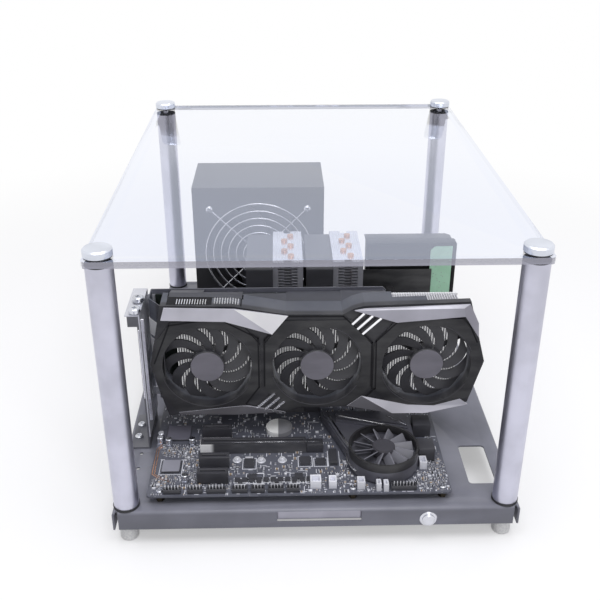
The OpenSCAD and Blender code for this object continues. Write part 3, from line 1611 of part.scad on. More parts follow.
base_tray();
label_plate();
feet();
post_washers();
post_at(-1, -1);  // post_front_left
post_at(1, -1);  // post_front_right
post_at(-1, 1);  // post_rear_left
post_at(1, 1);  // post_rear_right
post_plugs();
caps();
glass_top();
button_body();
button_plunger();
button_nut();
board_standoffs();
board_screws();
mainboard();
rear_ports();
power_heat_sinks();
processor_socket();
memory_sockets();
memory_modules();
slot_bodies();
slot_shields();
white_connectors();
black_connectors();
board_chips();
capacitors();
coin_cell();
chipset_heat_sink();
chipset_rotor();
card_bracket();
card_board();
card_backplate();
card_fin_pack();
card_shroud();
card_trim();
card_fan_mounts();
card_rotor(0);  // card_rotor_left
card_rotor(1);  // card_rotor_middle
card_rotor(2);  // card_rotor_right
card_stand();
thumb_screws();
panel_screws();
supply_case();
supply_fan_frame();
supply_rotor();
supply_guard();
supply_inlet();
supply_rocker();
cooler_base();
heat_pipes();
cooler_fins();
cooler_top_plates();
cooler_fan_frames();
cooler_rotor(-1);  // cooler_rotor_left
cooler_rotor(1);  // cooler_rotor_right
drive_case();
drive_board();
drive_bracket();
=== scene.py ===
# %% [markdown]
# An open air test bench: a folded steel tray on four posts under a glass lid. It carries
# a mainboard, an upright graphics card, a twin tower cooler, a power supply and a drive.
# The solids come ready in their real size and place. This lesson gives every one its
# finish, rounds the edges that catch light, and adds the small parts that a board has.

# %% Load the frame
import json
import math
import random

import bmesh
import bpy
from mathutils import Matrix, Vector
from mathutils.bvhtree import BVHTree


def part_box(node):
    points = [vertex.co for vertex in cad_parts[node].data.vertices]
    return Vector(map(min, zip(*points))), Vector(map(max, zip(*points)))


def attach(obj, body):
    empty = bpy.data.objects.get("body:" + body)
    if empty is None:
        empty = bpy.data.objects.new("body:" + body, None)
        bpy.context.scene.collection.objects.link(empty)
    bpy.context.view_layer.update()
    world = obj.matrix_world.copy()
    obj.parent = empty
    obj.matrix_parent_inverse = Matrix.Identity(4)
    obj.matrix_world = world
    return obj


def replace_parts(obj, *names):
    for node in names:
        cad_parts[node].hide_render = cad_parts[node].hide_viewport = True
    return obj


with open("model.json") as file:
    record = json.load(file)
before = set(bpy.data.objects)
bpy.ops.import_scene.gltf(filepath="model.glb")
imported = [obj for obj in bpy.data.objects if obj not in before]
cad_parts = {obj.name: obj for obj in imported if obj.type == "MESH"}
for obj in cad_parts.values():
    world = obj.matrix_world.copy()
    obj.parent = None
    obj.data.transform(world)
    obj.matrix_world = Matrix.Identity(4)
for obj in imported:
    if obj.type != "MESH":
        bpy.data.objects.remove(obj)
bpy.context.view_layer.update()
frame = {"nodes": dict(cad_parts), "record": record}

MM = 0.001
nodes = frame["nodes"]

# %% [markdown]
# The camera stands in front of the bench and a little to the left, and looks down at it.
# A lens can be guessed by eye, but the posts and the tray give straight lines that run to
# vanishing points, so place, tilt and focal length were worked out from those instead.

# %% Camera
camera_place = Vector((-26.34, -736.19, 485.27))*MM
camera_tilt_deg = 63.072
camera_turn_deg = -1.404
lens_mm = 51.13

camera_data = bpy.data.cameras.new("camera")
camera_data.lens = lens_mm
camera = bpy.data.objects.new("camera", camera_data)
camera.location = camera_place
camera.rotation_euler = (math.radians(camera_tilt_deg), 0, math.radians(camera_turn_deg))
bpy.context.scene.collection.objects.link(camera)
bpy.context.scene.camera = camera
print("camera height in mm", round(camera_place.z/MM))

# %% [markdown]
# A shader is a web of nodes, and maths on it soon fills the screen. Wrapping a socket in
# a small class lets the same web be written as a sum: `1 - mask` adds its Math node by
# itself. Colours can't go through Math nodes, which would turn them grey, so they have
# a helper of their own that mixes two of them by a mask.

# %% Shader helper
class Wire:
    """A shader socket that can stand in a sum."""

    def __init__(self, finish, socket):
        self.finish = finish
        self.socket = socket

    def join(self, operation, first, second):
        return self.finish.node("ShaderNodeMath", {"operation": operation},
                                {0: first, 1: second})

    def __add__(self, other): return self.join("ADD", self, other)
    def __radd__(self, other): return self.join("ADD", other, self)
    def __sub__(self, other): return self.join("SUBTRACT", self, other)
    def __rsub__(self, other): return self.join("SUBTRACT", other, self)
    def __mul__(self, other): return self.join("MULTIPLY", self, other)
    def __rmul__(self, other): return self.join("MULTIPLY", other, self)
    def __gt__(self, other): return self.join("GREATER_THAN", self, other)
    def __lt__(self, other): return self.join("LESS_THAN", self, other)


class Finish:
    """A material round one Principled shader."""

    @classmethod
    def of_world(cls, world):
        finish = cls.__new__(cls)
        finish.tree = world.node_tree
        return finish

    def __init__(self, name, **constants):
        self.material = bpy.data.materials.new(name)
        self.material.use_nodes = True
        self.tree = self.material.node_tree
        self.shader = self.tree.nodes["Principled BSDF"]
        self.output = self.tree.nodes["Material Output"]
        for key, value in constants.items():
            self.set(key.replace("_", " ").title().replace("Ior", "IOR"), value)

    def node(self, kind, settings, inputs, output=0):
        made = self.tree.nodes.new(kind)
        for key, value in settings.items():
            setattr(made, key, value)
        for key, value in inputs.items():
            self.plug(made.inputs[key], value)
        return Wire(self, made.outputs[output])

    def plug(self, socket, value):
        if isinstance(value, Wire):
            self.tree.links.new(value.socket, socket)
        else:
            socket.default_value = value

    def set(self, name, value):
        self.plug(self.shader.inputs[name], value)

    def place(self):
        return self.node("ShaderNodeTexCoord", {}, {}, "Object")

    def stretch(self, vector, factors):
        return self.node("ShaderNodeVectorMath", {"operation": "MULTIPLY"},
                         {0: vector, 1: factors})

    def axis(self, vector, name):
        return self.node("ShaderNodeSeparateXYZ", {}, {0: vector}, name)

    def noise(self, vector, scale, detail=2.0):
        return self.node("ShaderNodeTexNoise", {},
                         {"Vector": vector, "Scale": scale, "Detail": detail}, "Fac")

    def ease(self, value, low, high, to_low=0.0, to_high=1.0):
        return self.node("ShaderNodeMapRange", {"interpolation_type": "SMOOTHSTEP"},
                         {"Value": value, "From Min": low, "From Max": high,
                          "To Min": to_low, "To Max": to_high})

    def blend(self, first, second, mask):
        return self.node("ShaderNodeMix", {"data_type": "RGBA"},
                         {0: mask, 6: first, 7: second}, 2)

    def bump(self, height, strength, distance):
        self.set("Normal", self.node("ShaderNodeBump", {},
                 {"Strength": strength, "Distance": distance, "Height": height}, "Normal"))


def rgb(red, green, blue):
    """Colour as the eye names it, 0 to 255, turned into the renderer's linear light."""
    def linear(level):
        level = level/255
        return level/12.92 if level <= 0.04045 else ((level + 0.055)/1.055)**2.4
    return (linear(red), linear(green), linear(blue), 1.0)


def shade(colour, factor):
    return tuple(min(1.0, level*factor) for level in colour[:3]) + (1.0,)


print("mid grey in linear light", round(rgb(128, 128, 128)[0], 3))

# %% [markdown]
# Powder coat is paint baked on as dust. Up close it has the skin of an orange, and from
# a step away it only looks satin. Two noises do that: a fine one lifts the surface by
# hundredths of a millimetre and a broad one shifts the tone a little.

# %% Coated and moulded finishes
def coated(name, colour, rough=0.42, grain=0.25, **constants):
    finish = Finish(name, **constants)
    spot = finish.place()
    skin = finish.noise(spot, 1900, 2)
    cloud = finish.noise(spot, 22, 3)
    finish.set("Base Color", finish.blend(shade(colour, 0.88), shade(colour, 1.12),
                                          finish.ease(cloud, 0.3, 0.7)))
    finish.set("Roughness", rough - 0.06 + 0.12*skin)
    finish.bump(skin, grain, 0.05*MM)
    return finish.material


def moulded(name, colour, rough=0.48, grain=0.12, **constants):
    finish = Finish(name, **constants)
    spot = finish.place()
    spark = finish.noise(spot, 3400, 1)
    flow = finish.noise(finish.stretch(spot, (9, 9, 30)), 3, 3)
    finish.set("Base Color", finish.blend(shade(colour, 0.9), shade(colour, 1.14),
                                          finish.ease(flow, 0.3, 0.7)))
    finish.set("Roughness", rough - 0.05 + 0.12*spark)
    finish.bump(spark, grain, 0.03*MM)
    return finish.material


def rubber(name, colour, rough=0.6):
    finish = Finish(name)
    spot = finish.place()
    dust = finish.noise(spot, 700, 4)
    finish.set("Base Color", finish.blend(shade(colour, 0.85), shade(colour, 1.15),
                                          finish.ease(dust, 0.3, 0.7)))
    finish.set("Roughness", rough - 0.05 + 0.14*dust)
    finish.bump(dust, 0.2, 0.05*MM)
    return finish.material


def graded(name, stops, axis, rough=0.42, **constants):
    """Colours that follow one another along an axis; stops are (mm, colour) pairs."""
    finish = Finish(name, **constants)
    spot = finish.place()
    along = finish.axis(spot, axis)
    flow = finish.noise(finish.stretch(spot, (9, 9, 30)), 3, 3)
    tone = stops[0][1]
    for (before, _), (after, colour) in zip(stops, stops[1:]):
        tone = finish.blend(tone, colour, finish.ease(along, before*MM, after*MM))
    finish.set("Base Color", finish.blend(tone, finish.blend(tone, (1, 1, 1, 1), 0.04),
                                          finish.ease(flow, 0.3, 0.7)))
    spark = finish.noise(spot, 3400, 1)
    finish.set("Roughness", rough - 0.05 + 0.1*spark)
    finish.bump(spark, 0.12, 0.03*MM)
    return finish.material


def fin_edge_glow(name, colour, glow_mm, glow_end_mm):
    """Bare fins whose front edges glow white by emission: a painted highlight for the light that the blades let
    through.
    """
    finish = Finish(name, metallic=0.2, emission_strength=0.5)
    spot = finish.place()
    inside = finish.ease(finish.axis(spot, "Y"), glow_mm*MM, glow_end_mm*MM)
    finish.set("Base Color", colour)
    finish.set("Roughness", 0.3 + 0.1*finish.noise(spot, 900))
    # Painted highlight: the fins glow white at their front edges, and the glow fades out further back.
    finish.set("Emission Color", finish.blend((1, 1, 1, 1), (0.01, 0.01, 0.01, 1), inside))
    return finish.material


# %% [markdown]
# Metal that has been brushed, turned or drawn carries fine lines in one direction. The
# same noise does for all of them when its space is squeezed: almost nothing along the
# lines, a great deal across them. Only the roughness and a hair of bump follow it, since
# scratches hardly change a metal's colour.

# %% Metal finishes
def metal(name, colour, rough=0.3, lines=(900, 900, 12), depth=0.12, metallic=1.0):
    finish = Finish(name, metallic=metallic)
    spot = finish.place()
    hair = finish.noise(finish.stretch(spot, lines), 1.0, 3)
    cloud = finish.noise(spot, 35, 3)
    finish.set("Base Color", finish.blend(shade(colour, 0.9), shade(colour, 1.06),
                                          finish.ease(cloud, 0.3, 0.7)))
    finish.set("Roughness", rough - 0.08 + 0.16*hair)
    finish.bump(hair, depth, 0.03*MM)
    return finish.material


ALONG_X = (12, 1100, 1100)
ALONG_Y = (1100, 12, 1100)
ALONG_Z = (1100, 1100, 12)
print("brush lines about", round(1000/ALONG_Z[0], 2), "mm apart")

# %% [markdown]
# The lid is one sheet of clear tempered glass. Seen at a flat angle it mirrors the white
# room above it, so black things behind it look pale and white things stay white. A pale
# mirror that lets more than half of the light through does just that. Real refraction
# would need far more samples. The lower face stays clear, or the film would count twice,
# and the ground edges are a denser grey.

# %% Glass finish
def lid_glass(name, top_mm, film=0.39, side=0.18, front=0.8):
    finish = Finish(name, roughness=0.03, metallic=1.0)
    spot = finish.place()
    smear = finish.noise(spot, 9, 3)
    normal = finish.node("ShaderNodeNewGeometry", {}, {}, "True Normal")
    up = finish.axis(normal, "Z")
    ahead = finish.axis(normal, "Y")
    flat = (up*up) > 0.5
    upper = finish.axis(spot, "Z") > (top_mm - 0.1)*MM
    faces_front = (ahead*ahead) > 0.5
    film_here = upper*(film - 0.02 + 0.04*smear) + (1 - upper)*0.01
    edge_here = faces_front*front + (1 - faces_front)*side
    edge_tone = finish.blend(rgb(196, 200, 210), rgb(158, 158, 170), faces_front)
    finish.set("Base Color", finish.blend(edge_tone, rgb(224, 232, 255), flat))
    finish.set("Alpha", flat*film_here + (1 - flat)*edge_here)
    return finish.material


# %% [markdown]
# A mainboard is layers of glass cloth under a dark solder mask. The copper runs below
# the mask show as faint ridges in bundles that turn by right angles, with small plated
# holes between them. Stripes along X and along Y, each kept to cells picked by chance,
# read as such bundles. A drawing of the real lines would be data and not a design.

# %% Circuit board finish
def circuit(name, colour, trace, pitch=0.9, rough=0.38):
    finish = Finish(name)
    spot = finish.place()
    x = finish.axis(spot, "X")
    y = finish.axis(spot, "Y")
    cell = finish.node("ShaderNodeTexVoronoi", {"distance": "CHEBYCHEV"},
                       {"Vector": spot, "Scale": 75.0}, "Color")
    pick = finish.axis(cell, "X")
    stripes_x = finish.node("ShaderNodeMath", {"operation": "FRACT"}, {0: x*(1/(pitch*MM))})
    stripes_y = finish.node("ShaderNodeMath", {"operation": "FRACT"}, {0: y*(1/(pitch*MM))})
    lines = (stripes_x < 0.42)*(pick > 0.62) + (stripes_y < 0.42)*(pick < 0.34)
    holes = finish.node("ShaderNodeTexVoronoi", {}, {"Vector": spot, "Scale": 330.0},
                        "Distance")
    ring = (holes < 0.14)*(finish.noise(spot, 60, 1) > 0.5)
    tone = finish.blend(colour, trace, lines)
    finish.set("Base Color", finish.blend(tone, rgb(150, 150, 152), ring))
    finish.set("Roughness", rough + 0.1*finish.noise(spot, 500, 2))
    finish.bump(lines, 0.35, 0.04*MM)
    return finish.material


# %% [markdown]
# Now every finish gets its colour. Those were read from the photograph and then moved until the render agreed,
# because a colour in a picture already holds the light.

# %% Finishes by name
finishes = {
    "tray_paint": coated("tray_paint", rgb(124, 125, 137), 0.42, 0.3),
    "label_sheet": metal("label_sheet", rgb(156, 155, 166), 0.34, ALONG_X),
    "clear_rubber": rubber("clear_rubber", rgb(250, 250, 254), 0.4),
    "black_rubber": rubber("black_rubber", rgb(46, 46, 50), 0.6),
    "post_aluminium": metal("post_aluminium", rgb(200, 200, 214), 0.36, ALONG_Z, 0.06),
    "plug_steel": metal("plug_steel", rgb(150, 150, 156), 0.3),
    "cap_metal": metal("cap_metal", rgb(218, 222, 232), 0.3, (60, 60, 60), 0.01),
    "clear_glass": lid_glass("clear_glass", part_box("glass_top")[1].z/MM),
    "button_steel": metal("button_steel", rgb(214, 215, 222), 0.2, (400, 400, 400), 0.04),
    "screw_steel": metal("screw_steel", rgb(205, 207, 214), 0.24, (500, 500, 500), 0.05),
    # The brass is darkened almost to black: painted shade for the standoffs in the dark under the board.
    "brass": metal("brass", rgb(84, 78, 66), 0.4),
    "board_laminate": circuit("board_laminate", rgb(84, 86, 97), rgb(104, 106, 118)),
    "port_steel": metal("port_steel", rgb(180, 182, 190), 0.3, ALONG_Y),
    "dark_aluminium": graded("dark_aluminium", [
        (51.5, rgb(90, 90, 100)), (51.9, rgb(34, 33, 37))], "Z", 0.38, metallic=0.3),
    "socket_metal": metal("socket_metal", rgb(176, 177, 184), 0.3, ALONG_X),
    "black_plastic": moulded("black_plastic", rgb(58, 58, 64), 0.45),
    "white_plastic": moulded("white_plastic", rgb(226, 227, 236), 0.36),
    # The slot's armour is near white at its left end and dark further right: a painted reflection.
    "shield_steel": graded("shield_steel", [
        (-88.5, rgb(252, 252, 254)), (-84.0, rgb(62, 62, 68))], "X", 0.3),
    "can_aluminium": metal("can_aluminium", rgb(200, 202, 210), 0.25, ALONG_Z),
    # The coin cell is white on its left and grey on its right: a painted highlight.
    "cell_steel": graded("cell_steel", [
        (-30.8, rgb(255, 255, 255)), (-30.0, rgb(140, 140, 146))], "X", 0.3),
    "fan_plastic": moulded("fan_plastic", rgb(62, 62, 67), 0.42),
    "bracket_steel": metal("bracket_steel", rgb(214, 215, 223), 0.3, ALONG_Z, 0.1, 0.6),
    "card_laminate": circuit("card_laminate", rgb(34, 40, 38), rgb(46, 54, 50)),
    "backplate_paint": coated("backplate_paint", rgb(98, 99, 110), 0.36, 0.12),
    "fin_aluminium": fin_edge_glow("fin_aluminium", rgb(252, 252, 255), -100.3, -99.6),
    # The shroud is darkest on its front face and lighter over the chamfer and the top: painted shade and light for
    # a top that gets more light.
    "shroud_plastic": graded("shroud_plastic", [
        (-120.2, rgb(40, 40, 44)), (-119.6, rgb(44, 44, 50)), (-114.0, rgb(50, 50, 57)),
        (-110.5, rgb(84, 87, 98))], "Y", 0.45, specular_ior_level=0.35),
    "trim_plastic": coated("trim_plastic", rgb(206, 205, 216), 0.34, 0.08, metallic=0.2),
    "stand_paint": graded("stand_paint", [(0, rgb(90, 91, 100)), (60, rgb(26, 26, 30))], "Y"),
    "supply_paint": coated("supply_paint", rgb(36, 36, 40), 0.46, 0.35),
    "guard_wire": metal("guard_wire", rgb(206, 207, 213), 0.22, (300, 300, 300), 0.04),
    "switch_plastic": moulded("switch_plastic", rgb(32, 32, 36), 0.3),
    "nickel": metal("nickel", rgb(170, 170, 178), 0.32, ALONG_Y, 0.05, 0.35),
    "copper": metal("copper", rgb(206, 160, 132), 0.28, ALONG_Z, 0.06),
    "pale_plate": metal("pale_plate", rgb(222, 225, 236), 0.28, ALONG_Y, 0.06),
    "drive_paint": coated("drive_paint", rgb(14, 14, 16), 0.5, 0.15,
                          specular_ior_level=0.25),
    "drive_laminate": circuit("drive_laminate", rgb(184, 232, 201), rgb(194, 240, 212)),
}
extra = {
    # Bright polished metal: the finish of real bars, fins and folds, and of the strips that stand for highlights.
    "polished_trim_and_highlight": metal("polished_trim_and_highlight", rgb(246, 246, 250), 0.18, ALONG_X, 0.03),
    "solder": metal("solder", rgb(228, 229, 236), 0.34, (400, 400, 400), 0.05, 0.4),
    "tan_ceramic": moulded("tan_ceramic", rgb(156, 136, 114), 0.5),
    "chip_lid": coated("chip_lid", rgb(142, 142, 154), 0.4, 0.1),
    "cover_paint": coated("cover_paint", rgb(112, 111, 124), 0.4, 0.12),
    "hub_plastic": moulded("hub_plastic", rgb(122, 120, 130), 0.5, 0.08),
    "chip_fan_plastic": moulded("chip_fan_plastic", rgb(116, 116, 125), 0.4, 0.1),
    "chip_hub_plastic": moulded("chip_hub_plastic", rgb(62, 61, 68), 0.5, 0.1),
    # Near black: painted shade in the shroud's vent openings and in the joints between its fan frames.
    "painted_shade_black": moulded("painted_shade_black", rgb(26, 26, 30), 0.6, specular_ior_level=0.2),
    # Lighter and darker copies of the trim's finish: painted highlight and painted shade for single facets of the
    # folded trim.
    "trim_painted_highlight": coated("trim_painted_highlight", rgb(250, 249, 255), 0.34, 0.08, metallic=0.2),
    "trim_painted_shade": coated("trim_painted_shade", rgb(112, 111, 118), 0.34, 0.08, metallic=0.2),
    "trim_painted_half_shade": coated("trim_painted_half_shade", rgb(186, 185, 197), 0.34, 0.08, metallic=0.2),
    "trim_painted_end_shade": coated("trim_painted_end_shade", rgb(172, 170, 182), 0.34, 0.08, metallic=0.2),
    # A darker copy of the shroud's plastic: painted shade on the ledge over the fins.
    "ledge_painted_shade": moulded("ledge_painted_shade", rgb(68, 69, 77), 0.45, 0.1),
    # A darker copy of the trim's finish: painted deep shade for trim facets.
    "trim_painted_deep_shade": coated("trim_painted_deep_shade", rgb(96, 95, 101), 0.34, 0.08, metallic=0.2),
}
finishes.update(extra)
print("finishes", len(finishes))

# %% [markdown]
# The record says which finish each solid has, so one loop dresses them all.

# %% Dress the solids
slot_of = {part["node"]: part["material_slot"] for part in frame["record"]["subparts"]}


def dress(piece, slot):
    piece.data.materials.clear()
    piece.data.materials.append(finishes[slot])


for name, solid in nodes.items():
    dress(solid, slot_of[name])
print("dressed", len(nodes))

# %% [markdown]
# No real edge is perfectly sharp: a sheet has its burr taken off and a moulding has the
# radius of its tool. That thin round is what draws a bright line along the edge. The
# solids stay as they are, so each such piece is a copy whose flat faces are first joined
# again and whose edges a Bevel modifier then rounds.

# %% Rounded copies
def place_piece(piece, body, slot, finish=None):
    dress(piece, finish or slot)
    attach(piece, body)
    return piece


def smooth(mesh, angle_deg=32):
    mesh.shade_smooth()
    mesh.set_sharp_from_angle(angle=math.radians(angle_deg))


def rounded(node, width_mm, angle_deg=40, segments=2, body="bench"):
    mesh = nodes[node].data.copy()
    work = bmesh.new()
    work.from_mesh(mesh)
    bmesh.ops.remove_doubles(work, verts=work.verts, dist=0.002*MM)
    bmesh.ops.dissolve_limit(work, angle_limit=math.radians(0.6), verts=work.verts,
                             edges=work.edges)
    work.to_mesh(mesh)
    work.free()
    piece = bpy.data.objects.new(node + "_rounded", mesh)
    bpy.context.scene.collection.objects.link(piece)
    bevel = piece.modifiers.new("edge", "BEVEL")
    bevel.width = width_mm*MM
    bevel.segments = segments
    bevel.limit_method = "ANGLE"
    bevel.angle_limit = math.radians(angle_deg)
    shape = piece.evaluated_get(bpy.context.evaluated_depsgraph_get())
    piece.data = bpy.data.meshes.new_from_object(shape)
    piece.modifiers.clear()
    smooth(piece.data)
    place_piece(piece, body, slot_of[node])
    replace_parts(piece, node)
    return piece


edge_width_mm = {
    "base_tray": 0.35, "glass_top": 0.5, "label_plate": 0.2, "card_backplate": 0.3,
    "drive_case": 0.7, "drive_bracket": 0.3, "card_stand": 0.3, "slot_bodies": 0.25,
    "memory_modules": 0.3, "memory_sockets": 0.25, "power_heat_sinks": 0.3,
    "white_connectors": 0.2, "black_connectors": 0.2, "processor_socket": 0.3,
    "cooler_base": 0.4,
}
for name, width in edge_width_mm.items():
    made = rounded(name, width)
    print(made.name, "faces", len(made.data.polygons))

# %% [markdown]
# Many small parts are simple forms, repeated. A collector takes boxes, cans, extruded
# outlines and bent wires in millimetres and turns them into one piece, so that a
# thousand chips cost one object. Placing a thousand objects would be far slower.

# %% Form collector
class Forms:
    """Gathers simple forms, in millimetres, into one piece."""

    def __init__(self):
        self.mesh = bmesh.new()

    def prism(self, outline, low, high, axes="xyz"):
        """Outline in the first two axes, raised along the third."""
        order = [axes.index(letter) for letter in "xyz"]
        rings = []
        for level in (low, high):
            rings.append([self.mesh.verts.new([(p[0], p[1], level)[k] for k in order])
                          for p in outline])
        self.mesh.faces.new(rings[0][::-1])
        self.mesh.faces.new(rings[1])
        for i in range(len(outline)):
            j = (i + 1) % len(outline)
            self.mesh.faces.new((rings[0][i], rings[0][j], rings[1][j], rings[1][i]))

    def box(self, x, y, z, w, d, h, turn=0.0):
        """Box round x and y that stands on z."""
        c, s = math.cos(turn), math.sin(turn)
        corners = [(sx*w/2, sy*d/2) for sx, sy in ((-1, -1), (1, -1), (1, 1), (-1, 1))]
        self.prism([(x + c*u - s*v, y + s*u + c*v) for u, v in corners], z, z + h)

    def can(self, x, y, z, r, h, sides=14, axes="xyz"):
        steps = [2*math.pi*i/sides for i in range(sides)]
        self.prism([(x + r*math.cos(a), y + r*math.sin(a)) for a in steps], z, z + h, axes)

    def line(self, points, z, w, h):
        """Flat strip along a run of points."""
        for (ax, ay), (bx, by) in zip(points, points[1:]):
            length = math.hypot(bx - ax, by - ay)
            self.box((ax + bx)/2, (ay + by)/2, z, length + w*0.8, w, h,
                     math.atan2(by - ay, bx - ax))

    def wire(self, points, r, sides=8):
        points = [Vector(p) for p in points]
        rings = []
        for i, p in enumerate(points):
            way = points[min(i + 1, len(points) - 1)] - points[max(i - 1, 0)]
            turn = way.to_track_quat("Z", "Y")
            rings.append([self.mesh.verts.new(p + turn @ Vector(
                (r*math.cos(2*math.pi*k/sides), r*math.sin(2*math.pi*k/sides), 0)))
                for k in range(sides)])
        for low, high in zip(rings, rings[1:]):
            for k in range(sides):
                j = (k + 1) % sides
                self.mesh.faces.new((low[k], low[j], high[j], high[k]))
        self.mesh.faces.new(rings[0][::-1])
        self.mesh.faces.new(rings[-1])

    def faces(self, corners, polygons):
        made = [self.mesh.verts.new(p) for p in corners]
        for polygon in polygons:
            self.mesh.faces.new([made[i] for i in polygon])

    def piece(self, name, slot, finish=None, body="bench", edge_mm=0.0, flat=False):
        bmesh.ops.recalc_face_normals(self.mesh, faces=self.mesh.faces)
        bmesh.ops.scale(self.mesh, vec=(MM, MM, MM), verts=self.mesh.verts)
        if edge_mm:
            bmesh.ops.bevel(self.mesh, geom=self.mesh.edges, offset=edge_mm*MM,
                            segments=1, affect="EDGES", clamp_overlap=True)
        mesh = bpy.data.meshes.new(name)
        self.mesh.to_mesh(mesh)
        self.mesh.free()
        if not flat:
            smooth(mesh)
        piece = bpy.data.objects.new(name, mesh)
        bpy.context.scene.collection.objects.link(piece)
        print(name, "faces", len(mesh.polygons))
        return place_piece(piece, body, slot, finish)


# %% [markdown]
# The card's shroud carries light trim that is folded like paper. The part of a fold that faces up is brighter
# because more light falls on it. So every trim is a closed form whose corners stand at different depths, and no
# facet is smoothed. The folds are shallow, so some facets also get a lighter or darker copy of the trim's finish:
# a painted highlight or a painted shade.

# %% Folded trim
trim_low, trim_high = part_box("card_trim")
trim_back_y = trim_high.y/MM
shroud_low, shroud_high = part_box("card_shroud")
shroud_mid = (shroud_low + shroud_high)/2/MM
shroud_half_l = (shroud_high.x - shroud_low.x)/2/MM
shroud_half_h = 54.0
shroud_mid_z = shroud_high.z/MM - shroud_half_h
trim_lap = 1.6

# Corners: shares of the shroud's half sizes, then how far the corner stands forward in
# mm. The outline comes first, and the numbers below name the corners of each facet.
# Last in each entry come the facets that take a painted highlight or painted shade finish in place of the trim's
# own.
trims = {
    "trim_upper_left": (
        [(-0.899, 0.985, 1.4), (-0.492, 0.953, 1.4), (-0.178, 0.819, 0.4),
         (-0.273, 0.537, 4.2), (-0.548, 0.745, 1.9), (-0.922, 0.778, 1.9)],
        [], [(0, 1, 4, 5), (1, 3, 4), (1, 2, 3)], {2: "trim_painted_highlight"}),
    "trim_upper_right": (
        [(0.210, 0.905, 1.2), (0.270, 0.935, 0.9), (0.886, 0.992, 0.6),
         (0.946, 0.658, 0.6), (0.955, 0.396, 0.6), (0.861, 0.790, 2.4),
         (0.461, 0.691, 1.4)],
        [(0.849, 0.935, 2.2)], [(0, 1, 2, 7), (0, 7, 5, 6), (2, 3, 5, 7), (3, 4, 5)],
        {1: "trim_painted_half_shade", 2: "trim_painted_end_shade", 3: "trim_painted_end_shade"}),
    "trim_lower_right": (
        [(0.181, -0.847, 0.6), (0.270, -0.661, 0.6), (0.555, -0.842, 0.5),
         (0.719, -0.866, 0.5), (0.878, -0.741, 0.5), (0.928, -0.842, 0.8),
         (0.666, -0.985, 2.2), (0.459, -0.966, 3.2)],
        [], [(0, 1, 7), (1, 2, 7), (2, 3, 6, 7), (3, 4, 5, 6)], {0: "trim_painted_shade"}),
    "trim_lower_left": (
        [(-0.854, -0.930, 0.5), (-0.474, -0.822, 0.6), (-0.421, -0.819, 1.4),
         (-0.205, -0.945, 0.5), (-0.496, -0.975, 1.5), (-0.850, -0.975, 0.5)],
        [], [(0, 1, 4, 5), (1, 2, 4), (2, 3, 4)],
        {0: "trim_painted_deep_shade", 1: "trim_painted_deep_shade", 2: "trim_painted_shade"}),
}


def on_shroud(share_x, share_z):
    return (shroud_mid.x + share_x*(shroud_half_l - trim_lap/2),
            shroud_mid_z + share_z*(shroud_half_h - trim_lap/2))


for name, (outline, inner, facets, painted_tones) in trims.items():
    count = len(outline)
    rim = [on_shroud(u, v) + (ahead,) for u, v, ahead in outline + inner]
    corners = [(x, trim_back_y - ahead, z) for x, z, ahead in rim]
    corners += [(x, trim_back_y + 0.05, z) for x, z, _ in rim[:count]]
    behind = len(rim)
    walls = [(i, (i + 1) % count, behind + (i + 1) % count, behind + i)
             for i in range(count)]
    forms = Forms()
    forms.faces(corners, facets + walls
                + [tuple(range(behind + count - 1, behind - 1, -1))])
    trim = forms.piece(name, "trim_plastic", flat=True)
    # Those facets get a copy of the trim's finish that carries painted highlight or painted shade.
    for facet, tone in painted_tones.items():
        trim.data.materials.append(finishes[tone])
        trim.data.polygons[facet].material_index = len(trim.data.materials) - 1
print("trims", len(trims))

# %% Slanting bars
bar_rows = [((-0.372, -0.852), (-0.262, -0.573), (-0.278, -0.911), (-0.203, -0.728)),
            ((0.197, 0.654), (0.265, 0.840), (0.259, 0.482), (0.366, 0.757))]
bar_w = 1.9
bar_t = 1.0
bars = Forms()
for first_low, first_high, last_low, last_high in bar_rows:
    for i in range(3):
        ends = []
        for near, far in ((first_low, last_low), (first_high, last_high)):
            u = near[0] + (far[0] - near[0])*i/2
            v = near[1] + (far[1] - near[1])*i/2
            ends.append(Vector((shroud_mid.x + u*shroud_half_l,
                                shroud_mid_z + v*shroud_half_h)))
        across = (ends[1] - ends[0]).orthogonal().normalized()*bar_w/2
        outline = [ends[0] - across, ends[1] - across, ends[1] + across, ends[0] + across]
        bars.prism(outline, trim_back_y - bar_t, trim_back_y, "xzy")
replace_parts(bars.piece("slanting_bars", "trim_plastic", "polished_trim_and_highlight"), "card_trim")

# %% [markdown]
# The card cools itself with a block of thin fins, a good two millimetres apart. The solid has a coarser comb that
# is easier to make; this piece stands in the same place with the real spacing, because the fins show as bright
# hairlines between the fan blades. Those hairlines are painted highlight: the fins' front edges glow white by
# emission.

# %% Fins of the card
fin_low, fin_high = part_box("card_fin_pack")
fin_pitch = 2.15
fin_t = 0.45
fin_base_t = 1.6
fin_z = fin_low.z/MM
front_tips = fin_low.y/MM
# Start, end, back, foot and top of each comb
fin_top = fin_high.z/MM
combs = [(-116.0, 58.0, -83.1, fin_z, fin_top - 7.0),
         (-116.0, -62.0, -83.1, fin_top - 7.0, fin_top),
         (66.0, fin_high.x/MM, fin_high.y/MM, fin_z, fin_top - 4.0)]
fins = Forms()
for x0, x1, back_y, foot_z, top in combs:
    count = int((x1 - x0)/fin_pitch)
    for i in range(count + 1):
        x = x0 + fin_t/2 + i*fin_pitch
        fins.box(x, (front_tips + back_y)/2, foot_z, fin_t, back_y - front_tips, top - foot_z)
    fins.box((x0 + x1)/2, back_y - fin_base_t/2, foot_z, x1 - x0, fin_base_t, top - foot_z - 0.4)
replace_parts(fins.piece("card_fins", "fin_aluminium"), "card_fin_pack")

# %% [markdown]
# Behind its front plate the shroud closes the card in on two more sides: a ledge that
# reaches back over the fins to the backplate, with a dark joint along part of it, and a
# slanting wall at the end that faces the stand. Both are thin mouldings.

